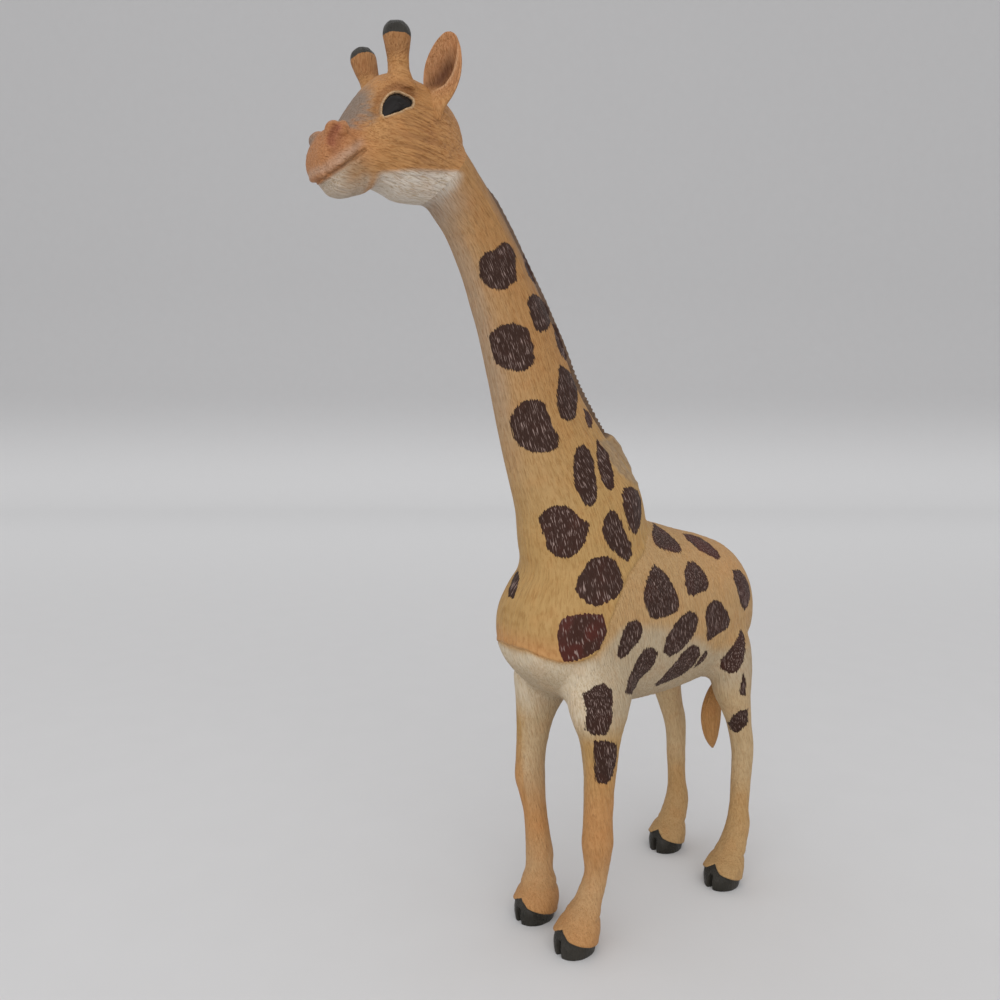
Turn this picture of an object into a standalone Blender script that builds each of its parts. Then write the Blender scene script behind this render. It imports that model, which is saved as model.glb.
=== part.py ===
"""Hollow vinyl toy giraffe: body, neck and head castings, four plugged legs, ears, eyes and tail.

Metres, +Z up. The animal faces -Y and its left side is +X. It is modelled with its breast at Y = 0 and
its soles on Z = 0, and at the end the middle of its bounding box is moved onto the Z axis. Tables named
SHARES hold outlines as shares of the sizes beside them.
"""

from math import copysign, cos, pi, radians, sin

import bmesh
import bpy
from mathutils import Vector

# Fits and walls
WALL = 0.0024
FIT_GAP = 0.0003
PLUG_DEPTH = 0.008
OVERRUN = 0.002
RING_POINTS = 24
SMALL_RING_POINTS = 16
BALL_STEPS = 8
SMOOTH_ANGLE = radians(40)

# Trunk, measured from the breast backwards and from the belly upwards
TRUNK_LENGTH = 0.178
TRUNK_WIDTH = 0.064
TRUNK_DEPTH = 0.102
BELLY_HEIGHT = 0.118
TRUNK_POWER = 2.3
# along the length, middle height, half width, half depth
TRUNK_SHARES = (
    (0.005, 0.48, 0.24, 0.14),
    (0.03, 0.48, 0.58, 0.36),
    (0.10, 0.49, 0.82, 0.63),
    (0.22, 0.51, 0.95, 0.86),
    (0.36, 0.51, 1.00, 0.98),
    (0.50, 0.49, 1.00, 0.97),
    (0.64, 0.465, 0.99, 0.90),
    (0.76, 0.455, 0.96, 0.82),
    (0.86, 0.45, 0.85, 0.70),
    (0.94, 0.42, 0.64, 0.50),
    (0.98, 0.39, 0.42, 0.31),
    (1.00, 0.36, 0.20, 0.13),
)

# Neck, a bent cone from inside the chest up to the throat
NECK_RISE = 0.196
NECK_REACH = 0.091
NECK_BASE_BACK = 0.0585
NECK_BASE_HEIGHT = 0.178
NECK_BASE_DEPTH = 0.084
NECK_TOP_DEPTH = 0.0288
NECK_BASE_WIDTH = 0.060
NECK_TOP_WIDTH = 0.0258
# forward reach, rise, how much of the base's extra size is left
NECK_SHARES = (
    (0.00, 0.00, 0.80),
    (0.10, 0.15, 0.85),
    (0.195, 0.284, 0.71),
    (0.298, 0.374, 0.56),
    (0.383, 0.451, 0.44),
    (0.460, 0.534, 0.335),
    (0.518, 0.608, 0.275),
    (0.600, 0.70, 0.195),
    (0.691, 0.788, 0.12),
    (0.780, 0.867, 0.055),
    (0.882, 0.942, 0.015),
    (1.00, 1.00, 0.00),
    (1.066, 1.033, 0.00),
)
# The parting plane between neck and body
NECK_SEAM_HEIGHT = 0.218
NECK_SEAM_BACK = 0.099
NECK_SEAM_TILT = radians(33.4)

# Head, measured from the middle of the neck's top
HEAD_LENGTH = 0.0705
HEAD_WIDTH = 0.035
HEAD_DEPTH = 0.050
HEAD_BACK = 0.0035
HEAD_LIFT = 0.016
HEAD_POWER = 2.2
HEAD_SEAM_TILT = radians(51)
HEAD_SEAM_FORWARD = 0.0043
HEAD_SEAM_LIFT = 0.005
# along the length, top, bottom (both from the middle, in half depths), half width
HEAD_SHARES = (
    (0.00, 0.22, -0.50, 0.20),
    (0.03, 0.46, -0.72, 0.42),
    (0.10, 0.68, -0.90, 0.64),
    (0.205, 0.84, -0.98, 0.82),
    (0.34, 0.96, -1.00, 0.94),
    (0.48, 1.00, -1.00, 1.00),
    (0.59, 0.90, -0.96, 0.97),
    (0.67, 0.61, -0.94, 0.86),
    (0.755, 0.26, -1.04, 0.71),
    (0.82, 0.04, -1.12, 0.66),
    (0.89, -0.08, -1.12, 0.63),
    (0.945, -0.20, -1.06, 0.57),
    (0.98, -0.38, -0.96, 0.46),
    (1.00, -0.56, -0.82, 0.29),
)

# Horn stubs, from the crown
HORN_LENGTH = 0.0252
HORN_UP_SHARE = 0.64
HORN_WIDTH = 0.0114
HORN_SPREAD = 0.020
HORN_FLARE = radians(14)
HORN_LEAN = radians(12)
HORN_ALONG_SHARE = 0.50
# along the length, radius
HORN_SHARES = (
    (0.00, 0.95),
    (0.25, 0.82),
    (0.45, 0.77),
    (0.66, 0.92),
    (0.83, 1.00),
    (0.93, 0.80),
    (0.985, 0.42),
)

# Nostril swellings
NOSTRIL_WIDTH = 0.0085
NOSTRIL_SPREAD = 0.0145
NOSTRIL_ALONG_SHARE = 0.895
NOSTRIL_UP_SHARE = -0.24

# Ears
EAR_LENGTH = 0.034
EAR_WIDTH = 0.0162
EAR_CUP = 0.0040
EAR_THICKNESS = 0.0024
EAR_SINK = 0.005
EAR_ALONG_SHARE = 0.295
EAR_UP_SHARE = 0.46
EAR_OUT_TILT = radians(20)
EAR_BACK_TILT = radians(4)
EAR_TURN = radians(40)
EAR_PEG_RADIUS = 0.0014
EAR_PEG_LENGTH = 0.006
# along the length, half width, cup depth, thickness
EAR_SHARES = (
    (0.00, 0.44, 0.00, 2.10),
    (0.18, 0.58, 0.00, 1.90),
    (0.30, 0.80, 0.45, 1.60),
    (0.41, 0.94, 0.90, 1.25),
    (0.56, 1.00, 1.00, 1.00),
    (0.74, 0.86, 0.75, 0.95),
    (0.89, 0.56, 0.40, 0.85),
    (0.98, 0.20, 0.10, 0.60),
)

# Eyes
EYE_LENGTH = 0.0145
EYE_HEIGHT = 0.0098
EYE_THICKNESS = 0.0058
EYE_ALONG_SHARE = 0.556
EYE_UP_SHARE = 0.28
EYE_SINK = 0.0012
EYE_DROP = radians(30)
EYE_FORWARD_TURN = radians(10)

# Legs. Side is measured from the middle, back from the breast.
LEG_SEAM_HEIGHT = 0.112
LEG_ROOT_HEIGHT = 0.160
LEG_SPIGOT_RADIUS = 0.0052
LEG_SPIGOT_LENGTH = 0.016
FRONT_LEG_BACK = 0.040
FRONT_LEG_SPREAD = 0.047
FRONT_LEG_WIDTH = 0.0170
HIND_LEG_BACK = 0.1495
HIND_LEG_SPREAD = 0.047
HIND_LEG_WIDTH = 0.0150
# height (in seam heights), out (in half spreads), forward, half width and half depth (in leg widths)
FRONT_LEFT_SHARES = (
    (0.000, 0.74, 0.62, 0.60, 0.70),
    (0.055, 0.74, 0.60, 0.65, 0.74),
    (0.110, 0.75, 0.50, 0.63, 0.68),
    (0.165, 0.77, 0.34, 0.54, 0.55),
    (0.215, 0.79, 0.16, 0.42, 0.43),
    (0.265, 0.81, 0.02, 0.40, 0.40),
    (0.34, 0.84, -0.10, 0.36, 0.38),
    (0.42, 0.88, -0.08, 0.42, 0.43),
    (0.49, 0.92, -0.04, 0.47, 0.49),
    (0.57, 0.94, -0.02, 0.45, 0.46),
    (0.69, 0.97, 0.00, 0.44, 0.46),
    (0.85, 1.00, 0.00, 0.47, 0.53),
    (1.00, 1.00, 0.00, 0.57, 0.70),
)
FRONT_RIGHT_SHARES = (
    (0.000, 0.72, 0.55, 0.60, 0.70),
    (0.055, 0.72, 0.53, 0.66, 0.76),
    (0.110, 0.74, 0.43, 0.65, 0.72),
    (0.165, 0.78, 0.32, 0.56, 0.60),
    (0.215, 0.82, 0.26, 0.46, 0.47),
    (0.29, 0.86, 0.20, 0.44, 0.46),
    (0.38, 0.89, 0.24, 0.40, 0.42),
    (0.51, 0.94, 0.30, 0.38, 0.39),
    (0.60, 1.00, 0.36, 0.43, 0.44),
    (0.67, 1.02, 0.42, 0.47, 0.50),
    (0.77, 1.02, 0.42, 0.47, 0.49),
    (0.88, 1.01, 0.34, 0.48, 0.54),
    (1.00, 1.00, 0.20, 0.57, 0.70),
)
HIND_LEFT_SHARES = (
    (0.000, 1.02, 0.65, 0.66, 0.78),
    (0.055, 1.02, 0.62, 0.72, 0.82),
    (0.115, 1.02, 0.42, 0.68, 0.70),
    (0.175, 1.02, 0.10, 0.56, 0.56),
    (0.235, 1.02, -0.14, 0.48, 0.50),
    (0.285, 1.02, -0.28, 0.45, 0.48),
    (0.37, 1.02, -0.32, 0.38, 0.39),
    (0.52, 1.02, -0.40, 0.38, 0.40),
    (0.66, 1.02, -0.46, 0.40, 0.44),
    (0.75, 1.02, -0.38, 0.43, 0.48),
    (0.85, 1.02, -0.16, 0.48, 0.50),
    (0.94, 1.01, 0.05, 0.57, 0.62),
    (1.00, 1.00, 0.22, 0.65, 0.72),
)
HIND_RIGHT_SHARES = (
    (0.000, 1.02, 0.32, 0.66, 0.78),
    (0.055, 1.02, 0.29, 0.72, 0.82),
    (0.115, 1.02, 0.14, 0.68, 0.70),
    (0.175, 1.02, -0.12, 0.56, 0.56),
    (0.235, 1.02, -0.30, 0.50, 0.52),
    (0.285, 1.02, -0.36, 0.45, 0.48),
    (0.37, 1.02, -0.32, 0.38, 0.39),
    (0.52, 1.02, -0.24, 0.38, 0.40),
    (0.66, 1.02, -0.20, 0.40, 0.44),
    (0.75, 1.02, -0.08, 0.44, 0.50),
    (0.85, 1.02, 0.20, 0.48, 0.54),
    (0.94, 1.01, 0.44, 0.56, 0.62),
    (1.00, 1.00, 0.58, 0.64, 0.72),
)
# height between seam and root, out (in half spreads), forward, half width and half depth (in leg widths)
FRONT_ROOT_SHARES = (
    (0.20, 0.98, 0.00, 0.66, 0.95),
    (0.50, 0.90, -0.10, 0.74, 1.20),
    (1.00, 0.70, -0.35, 0.66, 1.15),
)
HIND_LEFT_ROOT_SHARES = (
    (0.22, 0.98, 0.30, 0.74, 0.84),
    (0.55, 0.90, 0.32, 0.80, 0.95),
    (1.00, 0.66, 0.30, 0.70, 0.85),
)
HIND_RIGHT_ROOT_SHARES = (
    (0.22, 0.98, 0.60, 0.74, 0.84),
    (0.55, 0.90, 0.56, 0.80, 0.95),
    (1.00, 0.66, 0.40, 0.70, 0.85),
)
CLEFT_WIDTH = 0.0026
CLEFT_DEPTH = 0.0055
CLEFT_HEIGHT = 0.0075

# Tail
TAIL_LENGTH = 0.088
TAIL_WIDTH = 0.0052
TAIL_TUFT_WIDTH = 0.0115
TAIL_ROOT_HEIGHT = 0.158
TAIL_REACH = 0.0215
TAIL_PEG_RADIUS = 0.0020
TAIL_PEG_LENGTH = 0.006
TAIL_PEG_SHARE = 0.05
# down the length, forward reach, how much of the tuft's extra width is there
TAIL_SHARES = (
    (0.00, -0.02, 0.10),
    (0.05, -0.10, 0.05),
    (0.14, -0.08, 0.00),
    (0.26, 0.08, 0.00),
    (0.40, 0.36, 0.00),
    (0.53, 0.68, 0.10),
    (0.62, 0.86, 0.60),
    (0.74, 0.98, 1.00),
    (0.86, 0.98, 0.75),
    (0.96, 0.92, 0.00),
    (1.00, 0.88, -0.60),
)

# Finishes: base colour and roughness
TAN_COLOUR = (0.56, 0.38, 0.15)
ORANGE_COLOUR = (0.50, 0.29, 0.11)
BLACK_COLOUR = (0.012, 0.011, 0.010)
VINYL_ROUGHNESS = 0.5
GLOSS_ROUGHNESS = 0.08



def clear_scene():
    for old in list(bpy.data.objects):
        bpy.data.objects.remove(old, do_unlink=True)


def finish(name, colour, roughness):
    """A plain painted vinyl or gloss finish."""
    material = bpy.data.materials.new(name)
    material.use_nodes = True
    shader = material.node_tree.nodes["Principled BSDF"]
    shader.inputs["Base Color"].default_value = (*colour, 1.0)
    shader.inputs["Roughness"].default_value = roughness
    shader.inputs["Metallic"].default_value = 0.0
    return material


def ring(centre, side, rise, power=2.0, count=RING_POINTS):
    """Points of a rounded outline around centre, whose half axes are side and rise."""
    points = []
    for step in range(count):
        angle = 2 * pi * step / count
        across, up = cos(angle), sin(angle)
        across = copysign(abs(across) ** (2 / power), across)
        up = copysign(abs(up) ** (2 / power), up)
        points.append(centre + side * across + rise * up)
    return points


def mesh_object(name, bm):
    bmesh.ops.recalc_face_normals(bm, faces=bm.faces)
    mesh = bpy.data.meshes.new(name)
    bm.to_mesh(mesh)
    bm.free()
    made = bpy.data.objects.new(name, mesh)
    bpy.context.collection.objects.link(made)
    return made


def loft(name, rings, poles=(None, None)):
    """A closed solid through rings of equal point counts. Each end fans out from a pole or is flat."""
    bm = bmesh.new()
    loops = [[bm.verts.new(point) for point in points] for points in rings]
    for lower, upper in zip(loops, loops[1:]):
        for step in range(len(lower)):
            after = (step + 1) % len(lower)
            bm.faces.new((lower[step], lower[after], upper[after], upper[step]))
    for loop, pole in zip((loops[0], loops[-1]), poles):
        middle = bm.verts.new(pole or sum((vert.co for vert in loop), Vector()) / len(loop))
        for step in range(len(loop)):
            bm.faces.new((loop[step], loop[(step + 1) % len(loop)], middle))
    return mesh_object(name, bm)


def combine(target, other, operation):
    """Applies one exact Boolean to target and removes the other object."""
    modifier = target.modifiers.new(operation, "BOOLEAN")
    modifier.operation = operation
    modifier.solver = "EXACT"
    modifier.object = other
    graph = bpy.context.evaluated_depsgraph_get()
    mesh = bpy.data.meshes.new_from_object(target.evaluated_get(graph))
    target.modifiers.clear()
    target.data = mesh
    bpy.data.objects.remove(other, do_unlink=True)
    return target


def union(name, solids):
    whole = solids[0]
    for other in solids[1:]:
        combine(whole, other, "UNION")
    whole.name = name
    return whole


def cylinder(name, start, end, radius):
    along = (end - start).normalized()
    side = along.orthogonal().normalized() * radius
    rise = along.cross(side).normalized() * radius
    return loft(name, [ring(start, side, rise), ring(end, side, rise)])


def half_space(name, point, normal, reach):
    """A large block on the side of a plane that the normal points to."""
    normal = normal.normalized()
    side = Vector((1.0, 0.0, 0.0)) * reach
    rise = normal.cross(side).normalized() * reach
    corners = [point + side * a + rise * b for a, b in ((1, 1), (-1, 1), (-1, -1), (1, -1))]
    return loft(name, [corners, [corner + normal * 2 * reach for corner in corners]])


def trunk(name, inset=0.0):
    """The trunk from breast to rump, drawn in by inset on every side."""
    rings = []
    for along, middle, width, depth in TRUNK_SHARES:
        half_width = TRUNK_WIDTH / 2 * width - inset
        half_depth = TRUNK_DEPTH / 2 * depth - inset
        if min(half_width, half_depth) < WALL and inset > 0:
            continue
        back = inset + (TRUNK_LENGTH - 2 * inset) * along
        centre = Vector((0.0, back, BELLY_HEIGHT + TRUNK_DEPTH * middle))
        side = Vector((half_width, 0.0, 0.0))
        rings.append(ring(centre, side, Vector((0.0, 0.0, half_depth)), power=TRUNK_POWER))
    return loft(name, rings)


def neck_point(forward, rise):
    return Vector((0.0, NECK_BASE_BACK - NECK_REACH * forward, NECK_BASE_HEIGHT + NECK_RISE * rise))


def neck(name, inset=0.0):
    points = [neck_point(forward, rise) for forward, rise, extra in NECK_SHARES]
    rings = []
    for index, (forward, rise, extra) in enumerate(NECK_SHARES):
        before = points[max(index - 1, 0)]
        after = points[min(index + 1, len(points) - 1)]
        across = (after - before).normalized().cross(Vector((1.0, 0.0, 0.0)))
        half_width = (NECK_TOP_WIDTH + (NECK_BASE_WIDTH - NECK_TOP_WIDTH) * extra) / 2 - inset
        half_depth = (NECK_TOP_DEPTH + (NECK_BASE_DEPTH - NECK_TOP_DEPTH) * extra) / 2 - inset
        rings.append(ring(points[index], Vector((half_width, 0.0, 0.0)), across * half_depth))
    return loft(name, rings)


def head_point(along, up):
    """A point of the head's middle plane, in shares of its length and of half its depth."""
    top = neck_point(1.0, 1.0)
    back = top.y + HEAD_BACK - HEAD_LENGTH * along
    return Vector((0.0, back, top.z + HEAD_LIFT + HEAD_DEPTH / 2 * up))


def skull(name, inset=0.0):
    rings = []
    for along, top, bottom, width in HEAD_SHARES:
        half_width = HEAD_WIDTH / 2 * width - inset
        half_depth = HEAD_DEPTH / 4 * (top - bottom) - inset
        if min(half_width, half_depth) < WALL and inset > 0:
            continue
        centre = head_point(along, (top + bottom) / 2)
        centre.y += inset * (2 * along - 1)
        side = Vector((half_width, 0.0, 0.0))
        rings.append(ring(centre, side, Vector((0.0, 0.0, half_depth)), power=HEAD_POWER))
    return loft(name, rings)


def horn(name, hand):
    foot = head_point(HORN_ALONG_SHARE, HORN_UP_SHARE) + Vector((hand * HORN_SPREAD / 2, 0.0, 0.0))
    axis = Vector((hand * sin(HORN_FLARE), -sin(HORN_LEAN), 1.0)).normalized()
    side = axis.orthogonal().normalized()
    rise = axis.cross(side)
    rings = []
    for along, radius in HORN_SHARES:
        size = HORN_WIDTH / 2 * radius
        centre = foot + axis * HORN_LENGTH * along
        rings.append(ring(centre, side * size, rise * size, count=SMALL_RING_POINTS))
    return loft(name, rings)


def ball(name, centre, across, up, out):
    """An ellipsoid from its three half axes, with its poles on the last one."""
    rings = []
    for step in range(1, BALL_STEPS):
        angle = pi * step / BALL_STEPS
        rings.append(
            ring(centre - out * cos(angle), across * sin(angle), up * sin(angle), count=SMALL_RING_POINTS)
        )
    return loft(name, rings, (centre - out, centre + out))


def nostril(name, hand):
    centre = head_point(NOSTRIL_ALONG_SHARE, NOSTRIL_UP_SHARE) + Vector((hand * NOSTRIL_SPREAD / 2, 0.0, 0.0))
    size = NOSTRIL_WIDTH / 2
    return ball(name, centre, Vector((size, 0.0, 0.0)), Vector((0.0, 0.0, size)), Vector((0.0, -size, 0.0)))


def head_outside(name):
    solids = [skull(name)]
    for hand in (1, -1):
        solids.append(horn("horn", hand))
        solids.append(nostril("nostril", hand))
    return union(name, solids)


def seam_normal(tilt):
    return Vector((0.0, -sin(tilt), cos(tilt)))


def neck_seam(shift=0.0):
    normal = seam_normal(NECK_SEAM_TILT)
    return Vector((0.0, NECK_SEAM_BACK, NECK_SEAM_HEIGHT)) + normal * shift, normal


def head_seam(shift=0.0):
    normal = seam_normal(HEAD_SEAM_TILT)
    top = neck_point(1.0, 1.0)
    middle = Vector((0.0, top.y - HEAD_SEAM_FORWARD, top.z + HEAD_SEAM_LIFT))
    return middle + normal * shift, normal


def leg_ring(row, height, hand, spread, back, leg_width):
    out, forward, width, depth = row
    centre = Vector((hand * spread / 2 * out, back - leg_width * forward, height))
    side = Vector((leg_width * width, 0.0, 0.0))
    return ring(centre, side, Vector((0.0, leg_width * depth, 0.0)), count=SMALL_RING_POINTS)


def leg_root(name, place, shares, root_shares):
    """The top of a leg, from just under its parting plane up into the trunk."""
    rings = []
    for height, *row in shares[-2:]:
        rings.append(leg_ring(row, LEG_SEAM_HEIGHT * height, *place))
    for height, *row in root_shares:
        level = LEG_SEAM_HEIGHT + (LEG_ROOT_HEIGHT - LEG_SEAM_HEIGHT) * height
        rings.append(leg_ring(row, level, *place))
    return loft(name, rings)


def spigot(name, place, shares, grow):
    """The round plug on top of a leg, or its socket when grow is the clearance."""
    hand, spread, back, leg_width = place
    height, out, forward, width, depth = shares[-1]
    foot = Vector((hand * spread / 2 * out, back - leg_width * forward, LEG_SEAM_HEIGHT - OVERRUN))
    rise = Vector((0.0, 0.0, OVERRUN + LEG_SPIGOT_LENGTH + grow))
    return cylinder(name, foot, foot + rise, LEG_SPIGOT_RADIUS + grow)


def cleft(name, place, shares):
    """A wedge that parts the two toes of a hoof from the front."""
    hand, spread, back, leg_width = place
    height, out, forward, width, depth = shares[0]
    toe = Vector((hand * spread / 2 * out, back - leg_width * (forward + depth), 0.0))
    side = Vector((CLEFT_WIDTH / 2, 0.0, 0.0))
    rise = Vector((0.0, 0.0, CLEFT_HEIGHT))
    front = Vector((0.0, -OVERRUN, 0.0))
    rear = Vector((0.0, CLEFT_DEPTH, 0.0))
    below = Vector((0.0, 0.0, -OVERRUN))
    low = [toe + below + point for point in (front - side, front + side, rear + side / 4, rear - side / 4)]
    top = [toe + rise + point for point in (front - side / 2, front + side / 2, side / 8, -side / 8)]
    return loft(name, [low, top])


def leg(name, place, shares):
    """One leg casting with its spigot, a flat sole and a cloven hoof."""
    rings = [leg_ring(row, LEG_SEAM_HEIGHT * height, *place) for height, *row in shares[:-1]]
    rings.append(leg_ring(shares[-1][1:], LEG_SEAM_HEIGHT - FIT_GAP / 2, *place))
    made = loft(name, rings)
    combine(made, spigot("spigot", place, shares, 0.0), "UNION")
    return combine(made, cleft("cleft", place, shares), "DIFFERENCE")


FRONT_PLACE = (FRONT_LEG_SPREAD, FRONT_LEG_BACK, FRONT_LEG_WIDTH)
HIND_PLACE = (HIND_LEG_SPREAD, HIND_LEG_BACK, HIND_LEG_WIDTH)
LEGS = (
    ("front_leg_left", (1, *FRONT_PLACE), FRONT_LEFT_SHARES, FRONT_ROOT_SHARES),
    ("front_leg_right", (-1, *FRONT_PLACE), FRONT_RIGHT_SHARES, FRONT_ROOT_SHARES),
    ("hind_leg_left", (1, *HIND_PLACE), HIND_LEFT_SHARES, HIND_LEFT_ROOT_SHARES),
    ("hind_leg_right", (-1, *HIND_PLACE), HIND_RIGHT_SHARES, HIND_RIGHT_ROOT_SHARES),
)


def reach():
    """A length that covers the whole figure."""
    return TRUNK_LENGTH + NECK_RISE + NECK_BASE_HEIGHT


def outside(name):
    """The figure's skin above the legs as one closed solid, before it is parted into castings."""
    solids = [trunk(name), neck("neck"), head_outside("head")]
    for leg_name, place, shares, root_shares in LEGS:
        solids.append(leg_root(leg_name, place, shares, root_shares))
    return union(name, solids)


def inside(name, inset):
    """The hollow through trunk, neck and head."""
    return union(name, [trunk(name, inset), neck("neck", inset), skull("skull", inset)])


def cut_above(target, seam, shift):
    """Keeps what lies beyond a parting plane."""
    point, normal = seam(shift)
    return combine(target, half_space("block", point, normal, reach()), "INTERSECT")


def cut_below(target, seam, shift):
    point, normal = seam(shift)
    return combine(target, half_space("block", point, -normal, reach()), "INTERSECT")


def leg_seam(shift=0.0):
    return Vector((0.0, 0.0, LEG_SEAM_HEIGHT + shift)), Vector((0.0, 0.0, 1.0))


def hollow_with_plug(shell, seam):
    """Hollows a casting that stands on a parting plane and gives it a plug for the piece below."""
    plug = inside("plug", WALL + FIT_GAP)
    cut_above(plug, seam, -PLUG_DEPTH)
    cut_below(plug, seam, WALL)
    combine(shell, plug, "UNION")
    cavity = cut_above(inside("cavity", WALL), seam, WALL)
    combine(cavity, inside("core", 2 * WALL + FIT_GAP), "UNION")
    return combine(shell, cavity, "DIFFERENCE")


def body_casting():
    body = cut_below(outside("body_casting"), neck_seam, -FIT_GAP / 2)
    cut_above(body, leg_seam, FIT_GAP / 2)
    combine(body, inside("hollow", WALL), "DIFFERENCE")
    for leg_name, place, shares, root_shares in LEGS:
        combine(body, spigot("socket", place, shares, FIT_GAP), "DIFFERENCE")
    return combine(body, tail_peg("bore", FIT_GAP), "DIFFERENCE")


def neck_casting():
    casting = cut_above(outside("neck_casting"), neck_seam, FIT_GAP / 2)
    cut_below(casting, head_seam, -FIT_GAP / 2)
    return hollow_with_plug(casting, neck_seam)


def head_casting():
    casting = cut_above(outside("head_casting"), head_seam, FIT_GAP / 2)
    hollow_with_plug(casting, head_seam)
    for hand in (1, -1):
        combine(casting, eye("window", hand, FIT_GAP), "DIFFERENCE")
        combine(casting, ear_peg("bore", hand, FIT_GAP), "DIFFERENCE")
    return casting


def skull_side(along, up):
    """How far the skull stands out from the middle plane at a place named in shares."""
    for before, after in zip(HEAD_SHARES, HEAD_SHARES[1:]):
        if before[0] <= along <= after[0]:
            part = (along - before[0]) / (after[0] - before[0])
            top, bottom, width = (low + (high - low) * part for low, high in zip(before[1:], after[1:]))
    rise = abs(2 * up - top - bottom) / (top - bottom)
    return HEAD_WIDTH / 2 * width * (1 - rise ** HEAD_POWER) ** (1 / HEAD_POWER)


def on_skull(along, up, hand):
    return head_point(along, up) + Vector((hand * skull_side(along, up), 0.0, 0.0))


def eye(name, hand, grow=0.0):
    """A lens in the side of the skull, its front corner lower than its rear one."""
    out = Vector((hand * cos(EYE_FORWARD_TURN), -sin(EYE_FORWARD_TURN), 0.0))
    level = out.cross(Vector((0.0, 0.0, 1.0))) * -hand
    across = level * cos(EYE_DROP) + Vector((0.0, 0.0, sin(EYE_DROP)))
    centre = on_skull(EYE_ALONG_SHARE, EYE_UP_SHARE, hand) - out * EYE_SINK
    return ball(
        name,
        centre,
        across * (EYE_LENGTH / 2 + grow),
        out.cross(across) * (EYE_HEIGHT / 2 + grow),
        out * (EYE_THICKNESS / 2 + grow),
    )


def ear_axis(hand):
    return Vector((hand * sin(EAR_OUT_TILT), sin(EAR_BACK_TILT), 1.0)).normalized()


def ear_foot(hand):
    return on_skull(EAR_ALONG_SHARE, EAR_UP_SHARE, hand)


def ear_peg(name, hand, grow=0.0):
    foot, axis = ear_foot(hand), ear_axis(hand)
    inner = foot - axis * (EAR_PEG_LENGTH + grow)
    return cylinder(name, inner, foot + axis * EAR_SINK / 2, EAR_PEG_RADIUS + grow)


def ear(name, hand):
    """A cupped leaf that opens forwards and outwards, seated on the skull over its peg."""
    axis = ear_axis(hand)
    facing = Vector((hand * sin(EAR_TURN), -cos(EAR_TURN), 0.0))
    side = axis.cross(facing).normalized()
    facing = side.cross(axis)
    root = ear_foot(hand) - axis * EAR_SINK
    rings = []
    for along, width, cup, thickness in EAR_SHARES:
        points = []
        for step in range(SMALL_RING_POINTS):
            angle = 2 * pi * step / SMALL_RING_POINTS
            depth = EAR_THICKNESS / 2 * thickness * sin(angle) - EAR_CUP * cup * sin(angle) ** 2
            across = EAR_WIDTH / 2 * width * cos(angle)
            points.append(root + axis * EAR_LENGTH * along + side * across + facing * depth)
        rings.append(points)
    made = combine(loft(name, rings), skull("seat", -FIT_GAP), "DIFFERENCE")
    return combine(made, ear_peg("peg", hand), "UNION")


def tail_point(along, forward):
    return Vector((0.0, TRUNK_LENGTH - TAIL_REACH * forward, TAIL_ROOT_HEIGHT - TAIL_LENGTH * along))


def tail_peg(name, grow=0.0):
    root = tail_point(TAIL_PEG_SHARE, 0.0)
    inward = Vector((0.0, -TAIL_PEG_LENGTH - grow, 0.0))
    return cylinder(name, root + inward, root + Vector((0.0, TAIL_WIDTH / 2, 0.0)), TAIL_PEG_RADIUS + grow)


def tail(name):
    """The tail from its peg in the rump down to the tuft between the hind legs."""
    points = [tail_point(along, forward) for along, forward, extra in TAIL_SHARES]
    rings = []
    for index, (along, forward, extra) in enumerate(TAIL_SHARES):
        before = points[max(index - 1, 0)]
        after = points[min(index + 1, len(points) - 1)]
        size = (TAIL_WIDTH + (TAIL_TUFT_WIDTH - TAIL_WIDTH) * extra) / 2
        across = (after - before).normalized().cross(Vector((1.0, 0.0, 0.0)))
        rings.append(ring(points[index], Vector((size, 0.0, 0.0)), across * size, count=SMALL_RING_POINTS))
    made = combine(loft(name, rings), trunk("seat", -FIT_GAP), "DIFFERENCE")
    return combine(made, tail_peg("peg"), "UNION")


def paint(node, material):
    """Gives a piece its finish and smooth rounded faces."""
    node.data.materials.clear()
    node.data.materials.append(material)
    node.data.shade_smooth()
    node.data.set_sharp_from_angle(angle=SMOOTH_ANGLE)


def centre_figure(nodes):
    """Moves all pieces so that the soles' middle under the bounding box is the origin."""
    places = [vert.co for node in nodes for vert in node.data.vertices]
    low, high = ([pick(place[axis] for place in places) for axis in range(3)] for pick in (min, max))
    for node in nodes:
        node.location = (-(low[0] + high[0]) / 2, -(low[1] + high[1]) / 2, -low[2])


def build():
    clear_scene()
    tan = finish("tan_vinyl", TAN_COLOUR, VINYL_ROUGHNESS)
    orange = finish("orange_vinyl", ORANGE_COLOUR, VINYL_ROUGHNESS)
    black = finish("black_gloss", BLACK_COLOUR, GLOSS_ROUGHNESS)
    finished = [(body_casting(), tan), (neck_casting(), tan), (head_casting(), tan)]
    for hand, side in ((1, "left"), (-1, "right")):
        finished.append((ear("ear_" + side, hand), orange))
        finished.append((eye("eye_" + side, hand), black))
    for name, place, shares, root_shares in LEGS:
        finished.append((leg(name, place, shares), orange))
    finished.append((tail("tail"), orange))
    for node, material in finished:
        paint(node, material)
    centre_figure([node for node, material in finished])


build()
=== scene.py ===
from itertools import product
from math import ceil, cos, pi, radians, sin

import bmesh
import bpy
import numpy as np
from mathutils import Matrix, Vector
from mathutils.bvhtree import BVHTree


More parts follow.
